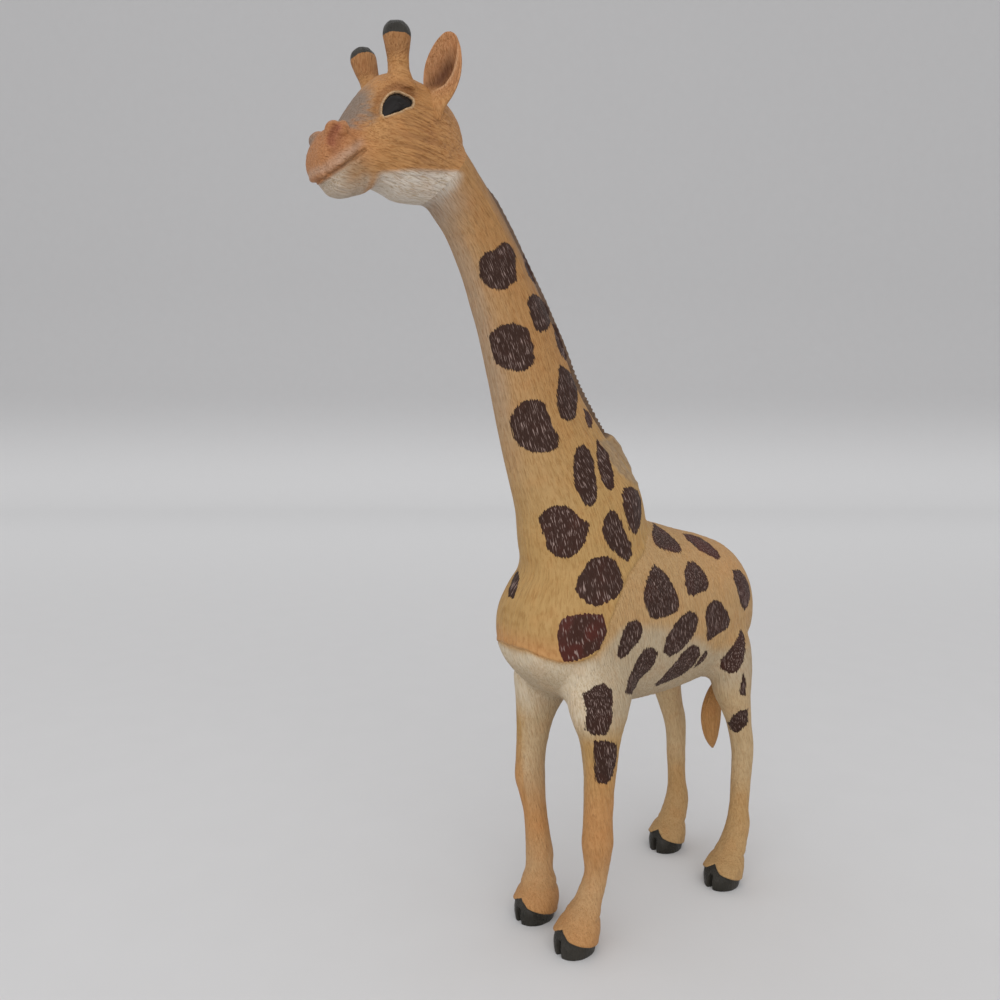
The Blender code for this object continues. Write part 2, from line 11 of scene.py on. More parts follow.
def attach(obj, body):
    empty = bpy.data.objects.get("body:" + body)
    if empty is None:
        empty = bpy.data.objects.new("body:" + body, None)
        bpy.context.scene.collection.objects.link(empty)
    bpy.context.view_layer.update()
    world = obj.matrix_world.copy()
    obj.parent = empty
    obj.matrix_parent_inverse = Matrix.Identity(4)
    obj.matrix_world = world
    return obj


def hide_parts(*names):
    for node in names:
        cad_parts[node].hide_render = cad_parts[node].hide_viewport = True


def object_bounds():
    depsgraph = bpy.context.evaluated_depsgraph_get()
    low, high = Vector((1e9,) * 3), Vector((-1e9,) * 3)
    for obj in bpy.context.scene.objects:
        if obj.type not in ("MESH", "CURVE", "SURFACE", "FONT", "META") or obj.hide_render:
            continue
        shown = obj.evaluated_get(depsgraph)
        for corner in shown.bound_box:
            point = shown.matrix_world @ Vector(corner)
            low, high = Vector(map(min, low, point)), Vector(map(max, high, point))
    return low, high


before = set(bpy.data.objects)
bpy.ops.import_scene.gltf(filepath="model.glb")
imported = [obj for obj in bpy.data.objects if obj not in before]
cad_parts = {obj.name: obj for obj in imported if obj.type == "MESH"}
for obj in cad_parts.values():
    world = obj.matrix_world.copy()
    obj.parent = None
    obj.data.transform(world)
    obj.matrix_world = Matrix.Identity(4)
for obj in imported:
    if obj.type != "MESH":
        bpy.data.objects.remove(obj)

CAD_BOX = [list(corner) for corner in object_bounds()]

# Metres, +Z up. The animal faces -Y and its left side is +X. Its breast is at BREAST on the Y axis.
MM = 0.001
BREAST = -0.041696
ACROSS, BACKWARD, UPRIGHT = np.eye(3)

# Camera of the photograph: 1000 pixels across, its focal length in pixels
PHOTO_SIZE = 1000
FOCAL_PIXELS = 800
SENSOR = 36.0
CAMERA_PLACE = (0.3088, -0.2768, 0.2668)
CAMERA_TURN = (radians(85.0), 0.0, radians(53.4))

# Skin mesh
VOXEL = 0.0006
FILL_VOXEL = 0.0016
FILL_ROUNDS = 90
RELAX_SPREAD = 0.0026
RING_STEP = 0.001
FINE_RING_STEP = 0.0006
THIN_RING_STEP = 0.0004
RING_POINTS = 96
THINNEST = 1e-4
# How far from an edge its distance is kept for the paint
PAINT_REACH = 0.006

# Trunk: along the length, middle height, half width, half depth
TRUNK_LENGTH = 0.178
TRUNK_WIDTH = 0.064
TRUNK_DEPTH = 0.102
BELLY_HEIGHT = 0.118
TRUNK_POWER = 2.3
TRUNK_SHARES = (
    (0.0, 0.48, 0.0, 0.0),
    (0.005, 0.48, 0.24, 0.14),
    (0.03, 0.48, 0.58, 0.36),
    (0.10, 0.49, 0.82, 0.63),
    (0.22, 0.51, 0.95, 0.86),
    (0.36, 0.51, 1.00, 0.98),
    (0.50, 0.49, 1.00, 0.97),
    (0.64, 0.465, 0.99, 0.90),
    (0.76, 0.455, 0.96, 0.82),
    (0.86, 0.45, 0.85, 0.70),
    (0.94, 0.42, 0.64, 0.50),
    (0.98, 0.39, 0.42, 0.31),
    (1.00, 0.36, 0.0, 0.0),
)

# Neck: forward reach, rise, how much of the base's extra size is left
NECK_RISE = 0.196
NECK_REACH = 0.091
NECK_BASE_BACK = 0.0585
NECK_BASE_HEIGHT = 0.178
NECK_BASE_DEPTH = 0.084
NECK_TOP_DEPTH = 0.0288
NECK_BASE_WIDTH = 0.060
NECK_TOP_WIDTH = 0.0258
NECK_SHARES = (
    (0.00, 0.00, 0.80),
    (0.10, 0.15, 0.85),
    (0.195, 0.284, 0.71),
    (0.298, 0.374, 0.56),
    (0.383, 0.451, 0.44),
    (0.460, 0.534, 0.335),
    (0.518, 0.608, 0.275),
    (0.600, 0.70, 0.195),
    (0.691, 0.788, 0.12),
    (0.780, 0.867, 0.055),
    (0.882, 0.942, 0.015),
    (1.00, 1.00, 0.00),
    (1.066, 1.033, 0.00),
)

# Mane: place along the neck, height above the nape, half width
CREST_DEPTH = 0.016
CREST_POWER = 3.0
CREST_SHARES = (
    (0.036, 0.0005, 0.0036),
    (0.050, 0.0036, 0.0052),
    (0.062, 0.0050, 0.0052),
    (0.070, 0.0060, 0.0048),
    (0.073, 0.0058, 0.0042),
    (0.075, 0.0042, 0.0024),
    (0.095, 0.0050, 0.0022),
    (0.125, 0.0048, 0.0021),
    (0.160, 0.0038, 0.0020),
    (0.205, 0.0032, 0.0018),
    (0.216, 0.0010, 0.0016),
)
# Swelling of the withers: place along the neck, spread, height
WITHERS = (0.052, 0.017, 0.0026)
# Hollow beside the mane: distance from the middle, spread, depth
NAPE_HOLLOW = (0.0090, 0.0050, 0.0021)

# Head: along the length, top, bottom, half width
HEAD_LENGTH = 0.0705
HEAD_WIDTH = 0.035
HEAD_DEPTH = 0.050
HEAD_BACK = 0.0035
HEAD_LIFT = 0.016
HEAD_POWER = 2.2
HEAD_SHARES = (
    (0.00, 0.0, -0.28, 0.0),
    (0.005, 0.22, -0.50, 0.20),
    (0.03, 0.46, -0.72, 0.42),
    (0.10, 0.68, -0.90, 0.64),
    (0.205, 0.84, -0.98, 0.82),
    (0.34, 0.97, -1.01, 0.94),
    (0.44, 1.00, -1.01, 0.99),
    (0.52, 0.98, -0.93, 1.00),
    (0.59, 0.90, -0.88, 0.97),
    (0.67, 0.68, -1.00, 0.86),
    (0.755, 0.36, -1.10, 0.71),
    (0.82, 0.06, -1.14, 0.66),
    (0.89, -0.08, -1.09, 0.63),
    (0.945, -0.20, -1.00, 0.57),
    (0.98, -0.38, -0.91, 0.46),
    (0.998, -0.60, -0.78, 0.20),
    (1.00, -0.70, -0.70, 0.0),
)

# Horn stubs: along the length, radius
HORN_LENGTH = 0.0252
HORN_WIDTH = 0.0114
HORN_SPREAD = 0.020
HORN_FLARE = radians(14)
HORN_LEAN = radians(12)
HORN_PLACE = (0.50, 0.64)
HORN_CAP_SHARE = {1: 0.69, -1: 0.755}
HORN_CAP_DOME = 40.0
HORN_CAP_TILT = {1: (-0.20, 0.16, 0.0), -1: (0.0, 0.0, 0.0)}
HORN_SHARES = (
    (0.00, 1.30),
    (0.08, 1.10),
    (0.17, 0.90),
    (0.28, 0.80),
    (0.45, 0.79),
    (0.66, 0.93),
    (0.81, 0.98),
    (0.92, 0.78),
    (0.972, 0.46),
    (0.985, 0.0),
)
NOSTRIL_WIDTH = 0.0085
NOSTRIL_SPREAD = 0.0145
NOSTRIL_PLACE = (0.895, -0.24)

# Legs: height in seam heights, out in half spreads, forward, half width and half depth in leg widths
LEG_SEAM_HEIGHT = 0.112
LEG_ROOT_HEIGHT = 0.160
LEG_SPREAD = 0.047
FOOT_REACH = 0.045
FRONT_LEG_BACK = 0.040
FRONT_LEG_WIDTH = 0.0170
HIND_LEG_BACK = 0.1495
HIND_LEG_WIDTH = 0.0150
FRONT_LEFT_SHARES = (
    (0.000, 0.74, 0.62, 0.60, 0.70),
    (0.055, 0.74, 0.60, 0.65, 0.74),
    (0.110, 0.75, 0.50, 0.63, 0.68),
    (0.165, 0.77, 0.34, 0.54, 0.55),
    (0.215, 0.79, 0.16, 0.42, 0.43),
    (0.265, 0.81, 0.02, 0.40, 0.40),
    (0.34, 0.84, -0.10, 0.36, 0.38),
    (0.42, 0.88, -0.08, 0.42, 0.43),
    (0.49, 0.92, -0.04, 0.47, 0.49),
    (0.57, 0.94, -0.02, 0.45, 0.46),
    (0.69, 0.97, 0.00, 0.44, 0.46),
    (0.85, 1.00, 0.00, 0.47, 0.53),
    (1.00, 1.00, 0.00, 0.57, 0.70),
)
FRONT_RIGHT_SHARES = (
    (0.000, 0.72, 0.55, 0.60, 0.70),
    (0.055, 0.72, 0.53, 0.66, 0.76),
    (0.110, 0.74, 0.43, 0.65, 0.72),
    (0.165, 0.78, 0.32, 0.56, 0.60),
    (0.215, 0.82, 0.26, 0.46, 0.47),
    (0.29, 0.86, 0.20, 0.44, 0.46),
    (0.38, 0.89, 0.24, 0.40, 0.42),
    (0.51, 0.94, 0.30, 0.38, 0.39),
    (0.60, 1.00, 0.36, 0.43, 0.44),
    (0.67, 1.02, 0.42, 0.47, 0.50),
    (0.77, 1.02, 0.42, 0.47, 0.49),
    (0.88, 1.01, 0.34, 0.48, 0.54),
    (1.00, 1.00, 0.20, 0.57, 0.70),
)
HIND_LEFT_SHARES = (
    (0.000, 1.02, 0.65, 0.66, 0.78),
    (0.055, 1.02, 0.62, 0.72, 0.82),
    (0.115, 1.02, 0.42, 0.68, 0.70),
    (0.175, 1.02, 0.10, 0.56, 0.56),
    (0.235, 1.02, -0.14, 0.48, 0.50),
    (0.285, 1.02, -0.28, 0.45, 0.48),
    (0.37, 1.02, -0.32, 0.38, 0.39),
    (0.52, 1.02, -0.40, 0.38, 0.40),
    (0.66, 1.02, -0.46, 0.40, 0.44),
    (0.75, 1.02, -0.38, 0.43, 0.48),
    (0.85, 1.02, -0.16, 0.48, 0.50),
    (0.94, 1.01, 0.05, 0.57, 0.62),
    (1.00, 1.00, 0.22, 0.65, 0.72),
)
HIND_RIGHT_SHARES = (
    (0.000, 1.02, 0.32, 0.66, 0.78),
    (0.055, 1.02, 0.29, 0.72, 0.82),
    (0.115, 1.02, 0.14, 0.68, 0.70),
    (0.175, 1.02, -0.12, 0.56, 0.56),
    (0.235, 1.02, -0.30, 0.50, 0.52),
    (0.285, 1.02, -0.36, 0.45, 0.48),
    (0.37, 1.02, -0.32, 0.38, 0.39),
    (0.52, 1.02, -0.24, 0.38, 0.40),
    (0.66, 1.02, -0.20, 0.40, 0.44),
    (0.75, 1.02, -0.08, 0.44, 0.50),
    (0.85, 1.02, 0.20, 0.48, 0.54),
    (0.94, 1.01, 0.44, 0.56, 0.62),
    (1.00, 1.00, 0.58, 0.64, 0.72),
)
# The same above the seam, with the height as a share between seam and root
FRONT_ROOT_SHARES = (
    (0.20, 0.98, 0.00, 0.66, 0.95),
    (0.50, 0.90, -0.10, 0.74, 1.20),
    (1.00, 0.70, -0.35, 0.66, 1.15),
)
HIND_LEFT_ROOT_SHARES = (
    (0.22, 0.98, 0.30, 0.74, 0.84),
    (0.55, 0.90, 0.32, 0.80, 0.95),
    (1.00, 0.66, 0.30, 0.70, 0.85),
)
HIND_RIGHT_ROOT_SHARES = (
    (0.22, 0.98, 0.60, 0.74, 0.84),
    (0.55, 0.90, 0.56, 0.80, 0.95),
    (1.00, 0.66, 0.40, 0.70, 0.85),
)
FRONT = (FRONT_LEG_BACK, FRONT_LEG_WIDTH)
HIND = (HIND_LEG_BACK, HIND_LEG_WIDTH)
LEGS = {
    "front_leg_left": (1, FRONT, FRONT_LEFT_SHARES, FRONT_ROOT_SHARES),
    "front_leg_right": (-1, FRONT, FRONT_RIGHT_SHARES, FRONT_ROOT_SHARES),
    "hind_leg_left": (1, HIND, HIND_LEFT_SHARES, HIND_LEFT_ROOT_SHARES),
    "hind_leg_right": (-1, HIND, HIND_RIGHT_SHARES, HIND_RIGHT_ROOT_SHARES),
}

# Parting planes: a point's back and height, and the plane's tilt
NECK_SEAM = (0.099, 0.218, radians(33.4))
HEAD_SEAM = (-0.0368, 0.379, radians(51.0))
# How far the neck's oval seam bends out of its plane: place along the plane, height above it
SEAM_BEND = (
    (-0.1140, 0.0056),
    (-0.1126, 0.0050),
    (-0.1110, 0.0010),
    (-0.1065, -0.0056),
    (-0.1020, -0.0092),
    (-0.0970, -0.0124),
    (-0.0908, -0.0144),
    (-0.0864, -0.0135),
    (-0.0820, -0.0106),
    (-0.0745, -0.0053),
    (-0.0670, -0.0012),
    (-0.0590, 0.0024),
    (-0.0500, 0.0050),
    (-0.0415, 0.0057),
    (-0.0339, 0.0056),
    (-0.0290, 0.0080),
    (-0.0250, 0.0088),
    (-0.0150, 0.0060),
    (0.0, 0.0030),
)
# Strips of the neck's cut faces: width, first and last place along the plane
CAP_STRIPS = (0.004, -0.114, 0.020)

# Ears: along the length, half width, cup depth, thickness
EAR_LENGTH = 0.034
EAR_WIDTH = 0.0162
EAR_CUP = 0.0040
EAR_THICKNESS = 0.0024
EAR_SINK = 0.005
EAR_PLACE = (0.295, 0.46)
EAR_OUT_TILT = radians(20)
EAR_BACK_TILT = radians(4)
EAR_TURN = radians(40)
EAR_RING_POINTS = 120
# The fold: share of the length, place across
EAR_FOLD = ((0.28, -0.50), (0.36, -0.10), (0.42, 0.18), (0.56, 0.44), (0.72, 0.62), (0.90, 0.80))
EAR_SHARES = (
    (0.00, 0.44, 0.00, 2.10),
    (0.18, 0.58, 0.00, 1.90),
    (0.30, 0.80, 0.45, 1.60),
    (0.41, 0.94, 0.90, 1.25),
    (0.56, 1.00, 1.00, 1.00),
    (0.74, 0.86, 0.75, 0.95),
    (0.89, 0.56, 0.40, 0.85),
    (0.97, 0.24, 0.10, 0.60),
    (0.985, 0.0, 0.05, 0.0),
)

# Eyes: how far the rim is tucked under the lids, the dome above it and the back behind it
EYE_TUCK = 0.0005
EYE_DOME = 0.0019
EYE_BACK = 0.0022

# Tail: down the length, forward reach, how much of the tuft's extra width is there
TAIL_LENGTH = 0.088
TAIL_WIDTH = 0.0052
TAIL_TUFT_WIDTH = 0.0115
TAIL_ROOT_HEIGHT = 0.158
TAIL_REACH = 0.0215
TAIL_RING_POINTS = 72
TAIL_SHARES = (
    (0.00, -0.02, 0.10),
    (0.05, -0.10, 0.05),
    (0.14, -0.08, 0.00),
    (0.26, 0.08, 0.00),
    (0.40, 0.36, 0.00),
    (0.53, 0.68, 0.10),
    (0.62, 0.86, 0.60),
    (0.74, 0.98, 1.00),
    (0.86, 0.98, 0.75),
    (0.96, 0.92, 0.00),
    (1.00, 0.88, -0.60),
)

# Colours, linear
TAN = (0.405, 0.247, 0.092)
BODY_TAN = (0.45, 0.285, 0.135)
# Upper neck: the tan darkened as painted shade
UPPER_TAN_SHADED = (0.37, 0.192, 0.070)
HORN_TAN = (0.33, 0.160, 0.062)
CHIN_TAN = (0.36, 0.225, 0.120)
ORANGE_TAN = (0.45, 0.228, 0.085)
# Rump and back: a paler tan, painted light on the top of the rear trunk
RUMP_LIT_TAN = (0.50, 0.29, 0.125)
PALE_TAN = (0.47, 0.335, 0.185)
OFF_WHITE = (0.42, 0.332, 0.222)
BREAST_WHITE = (0.57, 0.475, 0.345)
JAW_WHITE = (0.58, 0.515, 0.44)
THROAT_GREY = (0.33, 0.265, 0.215)
CHIN_PALE = (0.47, 0.39, 0.31)
MUZZLE_PINK = (0.40, 0.175, 0.072)
FOREHEAD_GREY = (0.205, 0.165, 0.135)
NAPE_OLIVE = (0.26, 0.180, 0.115)
# Painted shade in the brow crease and the cheek furrows
CREASE_SHADE_BROWN = (0.20, 0.085, 0.035)
# Painted highlight along the upper lip's rim
LIP_HIGHLIGHT = (0.44, 0.30, 0.22)
NOSTRIL_RED = (0.28, 0.095, 0.055)
# Painted shade in the ear's hollow
EAR_HOLLOW_SHADE = (0.125, 0.050, 0.021)
# Painted highlight along the ear's fold ridge
EAR_RIDGE_HIGHLIGHT = (0.58, 0.35, 0.20)
EAR_PINK = (0.46, 0.230, 0.105)
SPOT_BROWN = (0.031, 0.0115, 0.0062)
SPOT_RED = (0.062, 0.0125, 0.0075)
SCRATCH = (0.27, 0.19, 0.165)
MANE_GREY = (0.11, 0.070, 0.048)
HUMP_TAN = (0.29, 0.205, 0.122)
BLACK = (0.020, 0.018, 0.014)
WORN_BLACK = (0.036, 0.032, 0.026)
EYE_BLACKS = ((0.004, 0.003, 0.003), (0.012, 0.009, 0.008))
LID_CREAM = (0.50, 0.375, 0.24)
WALL_GREYS = ((0.572, 0.568, 0.570), (0.590, 0.586, 0.588))
FLOOR_GREYS = ((0.655, 0.650, 0.650), (0.675, 0.670, 0.670))
# Painted light: the floor paler far from the lamps
FAR_FLOOR_LIT_GREY = (0.80, 0.80, 0.80)
SKY_GREY = (0.80, 0.80, 0.81)

# Places in the photograph, in pixels
EYE_OUTLINE = (
    (384.5, 116.3), (382.4, 113), (382.3, 109), (383, 104), (385.5, 99.5), (389.5, 95), (394.5, 93),
    (399.5, 93), (404.5, 95), (409, 97), (412.3, 100), (412.8, 103.5), (411.5, 106.3), (406, 107.9),
    (401, 110.5), (395, 112.6), (389.5, 114.8),
)
MOUTH_LINE = ((321, 181), (328, 176), (336, 170), (345, 164), (354, 158), (361, 153), (365, 150))
HUMP_OUTLINE = (
    (598, 441), (608, 441), (616, 447), (619, 458), (627, 468), (638, 486), (630, 483), (618, 472),
    (609, 460), (602, 450),
)
BROW_LINE = ((376.5, 111), (377.5, 101), (382, 93), (389, 88), (398, 86.5), (406, 89), (413, 94))
NOSTRIL_LINE = ((337.5, 127), (334, 131), (331, 137), (331, 142))
JAW_LINE = ((376, 172), (400, 171), (430, 171), (456, 171))
CHIN_PATCH = (357, 171)
# Far nostril's upper rim, where painted shade goes
FAR_NOSTRIL_SHADE = (311, 141)
GREY_LINE = ((340, 121), (350, 129), (362, 131), (374, 126), (381, 118))
BELLY_LINE = ((600, 655), (612, 640), (620, 628), (630, 620), (650, 624), (675, 628), (700, 638), (715, 650))

# Spots in the photograph: redness and outline
SPOT_OUTLINES = (
    (0.0, (498.6, 245.7), (504.3, 241.4), (509.3, 244.3), (513.6, 249.3), (516, 257.9), (516.4, 272.1),
     (517.4, 280), (512.9, 282.9), (506.4, 289.3), (498.6, 290.4), (490, 288.6), (483.6, 282.9),
     (479.7, 276.4), (478.6, 265), (480.7, 257.9), (485.7, 252.1), (494.3, 250)),
    (0.2, (522.1, 250.7), (525, 254.3), (531.4, 266.4), (536.6, 276.4), (539.5, 283.6), (538.6, 290),
     (535, 285), (528.6, 276.4), (525, 266.4), (522.9, 257.9)),
    (0.0, (532.9, 293.3), (538.6, 296.4), (544.3, 300.7), (547.9, 306.4), (550.2, 315), (550, 323.6),
     (547.9, 329.3), (541.4, 332.1), (535.7, 330), (532.9, 322.1), (530.7, 313.6), (527.4, 305),
     (528.3, 297.9)),
    (0.0, (512.9, 323.3), (520, 325), (527.1, 327.9), (530, 333.6), (530.7, 340.7), (534.3, 345.7),
     (532.9, 353.6), (534.3, 363.6), (528.6, 367.9), (524.3, 371.4), (514.3, 371.4), (504.3, 368.6),
     (497.1, 364.3), (492.9, 357.9), (491.4, 347.9), (488.3, 336.4), (492.9, 330.7), (501.4, 325)),
    (0.2, (553.6, 322.1), (557.1, 327.9), (562.5, 345), (568, 359.3), (565.7, 360.7), (561.4, 355.7),
     (557.1, 346.4), (554.3, 333.6)),
    (0.0, (560, 365), (565, 367.9), (570, 372.1), (574.3, 380.7), (577.1, 390.7), (577.4, 402.1),
     (575.7, 417.9), (568.6, 421.4), (561.4, 417.9), (557.1, 405), (556.9, 390.7), (558.6, 379.3),
     (558.3, 369.3)),
    (0.0, (522.9, 401.4), (531.4, 399.3), (540, 400), (545.7, 405), (548.6, 413.6), (552.9, 425),
     (556.4, 432.1), (559.7, 442.1), (555.7, 449.3), (544.3, 453.6), (531.4, 452.1), (520, 446.4),
     (513.6, 437.9), (510.7, 426.4), (510, 419.3), (514.3, 409.3)),
    (1.0, (582.9, 407.1), (588.6, 412.1), (592.4, 419.3), (591.8, 427.9), (588.6, 427.9), (585.7, 420.7)),
    (0.0, (583.1, 443.9), (590, 449.6), (593.4, 459.6), (595.4, 471.9), (597.4, 488.8), (596.2, 501.2),
     (591.5, 506.5), (585.4, 505), (580.8, 498.1), (575.4, 487.3), (573.1, 475), (573.5, 461.2),
     (576.2, 448.8)),
    (0.1, (596.9, 438), (602.3, 447.3), (606.9, 451.9), (610, 459.6), (613.8, 475), (614.6, 485.8),
     (611.5, 490.7), (606.2, 488.1), (601.5, 479.6), (597.7, 465.8), (596.5, 451.9)),
    (0.1, (623.1, 488.1), (631.5, 487), (637.7, 490.4), (641.1, 499.6), (641.5, 511.9), (640, 525.8),
     (635.4, 535.3), (630, 530.4), (626.2, 521.2), (623.1, 505.8), (622.3, 495)),
    (0.0, (610, 509.6), (615.4, 511.2), (620.8, 521.2), (626.2, 533.5), (630.8, 544.2), (632.3, 555),
     (627.7, 561.9), (620.8, 558.1), (613.1, 550.4), (605.4, 541.9), (602.3, 530.4), (603.8, 519.6)),
    (0.1, (551.5, 506.5), (560.8, 505), (568.5, 507.3), (574.6, 511.9), (580.8, 518.1), (589.2, 522.7),
     (588.5, 531.9), (584.6, 542.7), (579.2, 551.9), (571.5, 557.3), (557.7, 557.3), (549.2, 551.2),
     (545.4, 541.2), (541.5, 530.4), (538.5, 518.1), (543.8, 511.2)),
    (0.1, (591.5, 558.1), (599.2, 556.5), (606.9, 555.8), (613.8, 559.6), (619.2, 568.8), (623.1, 579.6),
     (622.3, 588.8), (616.2, 597.3), (606.9, 602.7), (597.7, 606.5), (588.5, 604.2), (579.2, 596.5),
     (575.1, 588.8), (577.7, 579.6), (583.8, 568.8)),
    (1.0, (560.8, 618.1), (576.2, 614.2), (590, 613.5), (601.5, 614.2), (604.6, 621.2), (606.9, 630.4),
     (603.8, 641.2), (597.7, 650.4), (586.9, 656.5), (573.1, 661.2), (563.1, 661.2), (559.2, 650.4),
     (557.7, 635), (558.5, 625.8)),
    (0.0, (628.5, 621.9), (636.2, 619.6), (641.5, 624.2), (643.1, 631.9), (637.7, 642.7), (628.5, 653.5),
     (620.8, 659.3), (616.9, 655), (620, 642.7), (623.1, 630.4)),
    (0.0, (653.7, 563.6), (659.4, 567.9), (668, 576.4), (674.4, 587.9), (679.4, 602.1), (678, 610.7),
     (668, 616.4), (656.6, 619.3), (650.1, 617.9), (645.9, 607.9), (643.3, 599.3), (645.1, 586.4),
     (649.4, 573.6)),
    (0.3, (651.6, 521.5), (658, 526.5), (665.1, 531), (672.3, 536.9), (679.4, 544.1), (682, 550),
     (679.4, 553.3), (669.4, 551.4), (659.4, 547.9), (653.7, 542.1), (651.6, 533.6)),
    (0.8, (682, 533.5), (689.4, 534), (699.4, 537.2), (709.4, 543.6), (717.5, 551), (720.6, 557.9),
     (718, 560), (708, 555), (696.6, 547.9), (686.6, 539.3)),
    (0.2, (688, 561.4), (693.7, 561.4), (700.9, 567.9), (706.6, 576.4), (708.7, 585), (706.6, 590.7),
     (699.4, 592.9), (693.7, 596.4), (688, 595), (685.1, 585), (683.7, 572.1)),
    (0.3, (732.3, 570), (739.5, 569.6), (744.1, 575), (748.7, 584.5), (750.3, 595), (748, 606.4),
     (744.4, 610), (740.1, 603.6), (737.3, 590.7), (733.7, 579.3)),
    (0.0, (689.4, 610.7), (695.1, 612.9), (698.3, 619.3), (696.6, 629.3), (690.9, 639.3), (679.4, 652.1),
     (669.4, 657.1), (663, 652.1), (666.6, 637.9), (675.1, 623.6), (682.3, 615.7)),
    (0.1, (713.7, 599.3), (720.9, 602.1), (726.6, 610.7), (730.1, 619.3), (728, 627.9), (718, 634.3),
     (709.4, 640.7), (706.6, 639.3), (706.6, 627.9), (705.1, 616.4), (707.3, 606.4)),
    (0.0, (645.9, 647.9), (652.3, 647.1), (657.3, 652.1), (655.1, 662.1), (648, 672.1), (638.7, 680.7),
     (633.7, 690.7), (628.5, 695), (625.4, 692.6), (626.6, 683.6), (633, 669.3), (639.4, 655)),
    (0.0, (693.7, 643.9), (699.4, 647.9), (700.1, 655), (693.7, 665.4), (682.3, 675), (668, 681.6),
     (655.7, 686.1), (654.3, 684.4), (663.7, 675.4), (673.7, 664), (683.7, 651.1)),
    (0.0, (708, 650.7), (706.6, 656.4), (700.9, 663.6), (692.3, 669), (699.4, 658.3), (705.1, 651.1)),
    (0.1, (740.6, 627.9), (744.1, 635), (745.6, 649.3), (742.7, 663.6), (738, 672.1), (728, 672.9),
     (719.4, 667.9), (720.9, 659.3), (730.9, 647.9), (737.3, 637.9)),
    (0.0, (743.4, 671.4), (745.6, 677.9), (745.9, 695.7), (740.9, 695), (739.4, 690.7), (742.3, 679.3)),
    (0.0, (748, 708.6), (748.7, 720.7), (743.7, 727.9), (736.6, 732.6), (729.4, 729.3), (727.3, 722.1),
     (732.3, 715), (740.9, 710)),
    (0.0, (582, 694), (594, 686), (604, 683), (612.5, 690), (613, 705), (612, 722), (606, 735),
     (594, 735), (584.5, 730), (586, 712)),
    (0.0, (594, 741), (606, 740), (616.5, 744), (617, 757), (613, 775), (606, 785), (597, 782),
     (594, 765)),
    (0.0, (518, 570), (520, 578), (518, 588), (514, 599), (509, 596), (508.5, 589), (512, 580),
     (515.5, 573)),
)

# Small helpers

def unit(vectors):
    return vectors / np.maximum(np.linalg.norm(vectors, axis=-1, keepdims=True), 1e-12)


def step(low, high, values):
    """0 below low and 1 above high, with a soft rise between."""
    part = np.clip((values - low) / (high - low), 0.0, 1.0)
    return part * part * (3 - 2 * part)


def bell(distance, width):
    return np.exp(-((distance / width) ** 2))


def noise(places, seed=0):
    """Smooth values from -1 to 1 that change over one unit of space."""
    cell = np.floor(places).astype(np.int64)
    part = places - cell
    part = part * part * (3 - 2 * part)
    total = np.zeros(len(places))
    for corner in product((0, 1), repeat=3):
        key = (cell + corner) @ np.array((73856093, 19349663, 83492791)) + seed * 7919
        key = (key ^ (key >> 13)) * 1274126177 & 0x7FFFFFFF
        value = ((key ^ (key >> 15)) & 0xFFFF) / 0xFFFF
        total += value * np.prod(np.where(corner, part, 1 - part), axis=1)
    return total * 2 - 1


def flowing(rows, pace=RING_STEP):
    """Rows at even steps on a smooth curve through the given rows."""
    rows = np.array(rows, dtype=float)
    gaps = np.linalg.norm(np.diff(rows, axis=0), axis=1)
    at = np.concatenate(([0.0], np.cumsum(gaps)))
    slopes = np.gradient(rows, at, axis=0)
    places = np.linspace(0.0, at[-1], ceil(at[-1] / pace) + 1)
    index = np.clip(np.searchsorted(at, places, side="right") - 1, 0, len(rows) - 2)
    gap = gaps[index][:, None]
    part = ((places - at[index]) / gaps[index])[:, None]
    return (
        (2 * part**3 - 3 * part**2 + 1) * rows[index]
        + (part**3 - 2 * part**2 + part) * gap * slopes[index]
        + (3 * part**2 - 2 * part**3) * rows[index + 1]
        + (part**3 - part**2) * gap * slopes[index + 1]
    )


# Rough solids

def round_section(power, count=RING_POINTS):
    angle = np.arange(count) * 2 * pi / count
    across, up = np.cos(angle), np.sin(angle)
    return (
        np.sign(across) * np.abs(across) ** (2 / power),
        np.sign(up) * np.abs(up) ** (2 / power),
    )


def tube(centres, sides, rises, power=2.0):
    """A closed solid as points and faces, from rings around centres."""
    across, up = round_section(power)
    rings = centres[:, None] + sides[:, None] * across[:, None] + rises[:, None] * up[:, None]
    return close(rings)


def close(rings):
    """Points and faces of a closed solid through rings of equal point counts."""
    rows, count = rings.shape[:2]
    ends = rings[[0, -1]].mean(axis=1)
    points = np.concatenate((rings.reshape(-1, 3), ends))
    after = (np.arange(count) + 1) % count
    faces = []
    for row in range(rows - 1):
        low, high = row * count, (row + 1) * count
        for spot in range(count):
            faces.append((low + spot, low + after[spot], high + after[spot], high + spot))
    for spot in range(count):
        faces.append((after[spot], spot, rows * count))
        faces.append(((rows - 1) * count + spot, (rows - 1) * count + after[spot], rows * count + 1))
    return points, faces


def middle_line(rows):
    """Points in the middle plane, from rows that start with back and height."""
    return np.stack((np.zeros(len(rows)), rows[:, 0], rows[:, 1]), 1)


def rearward(path):
    """The direction behind each point of a path in the middle plane, square to it."""
    return np.cross(unit(np.gradient(path, axis=0)), ACROSS)


def upright_tube(rows, power):
    """A closed solid with upright rings, from rows of back, height, half width and half depth."""
    rows = np.maximum(flowing(rows), (-1, 0, THINNEST, THINNEST))
    return tube(middle_line(rows), rows[:, 2:3] * ACROSS, rows[:, 3:4] * UPRIGHT, power)


def trunk():
    along, middle, width, depth = np.array(TRUNK_SHARES).T
    back = BREAST + TRUNK_LENGTH * along
    height = BELLY_HEIGHT + TRUNK_DEPTH * middle
    rows = np.stack((back, height, TRUNK_WIDTH / 2 * width, TRUNK_DEPTH / 2 * depth), 1)
    return upright_tube(rows, TRUNK_POWER)


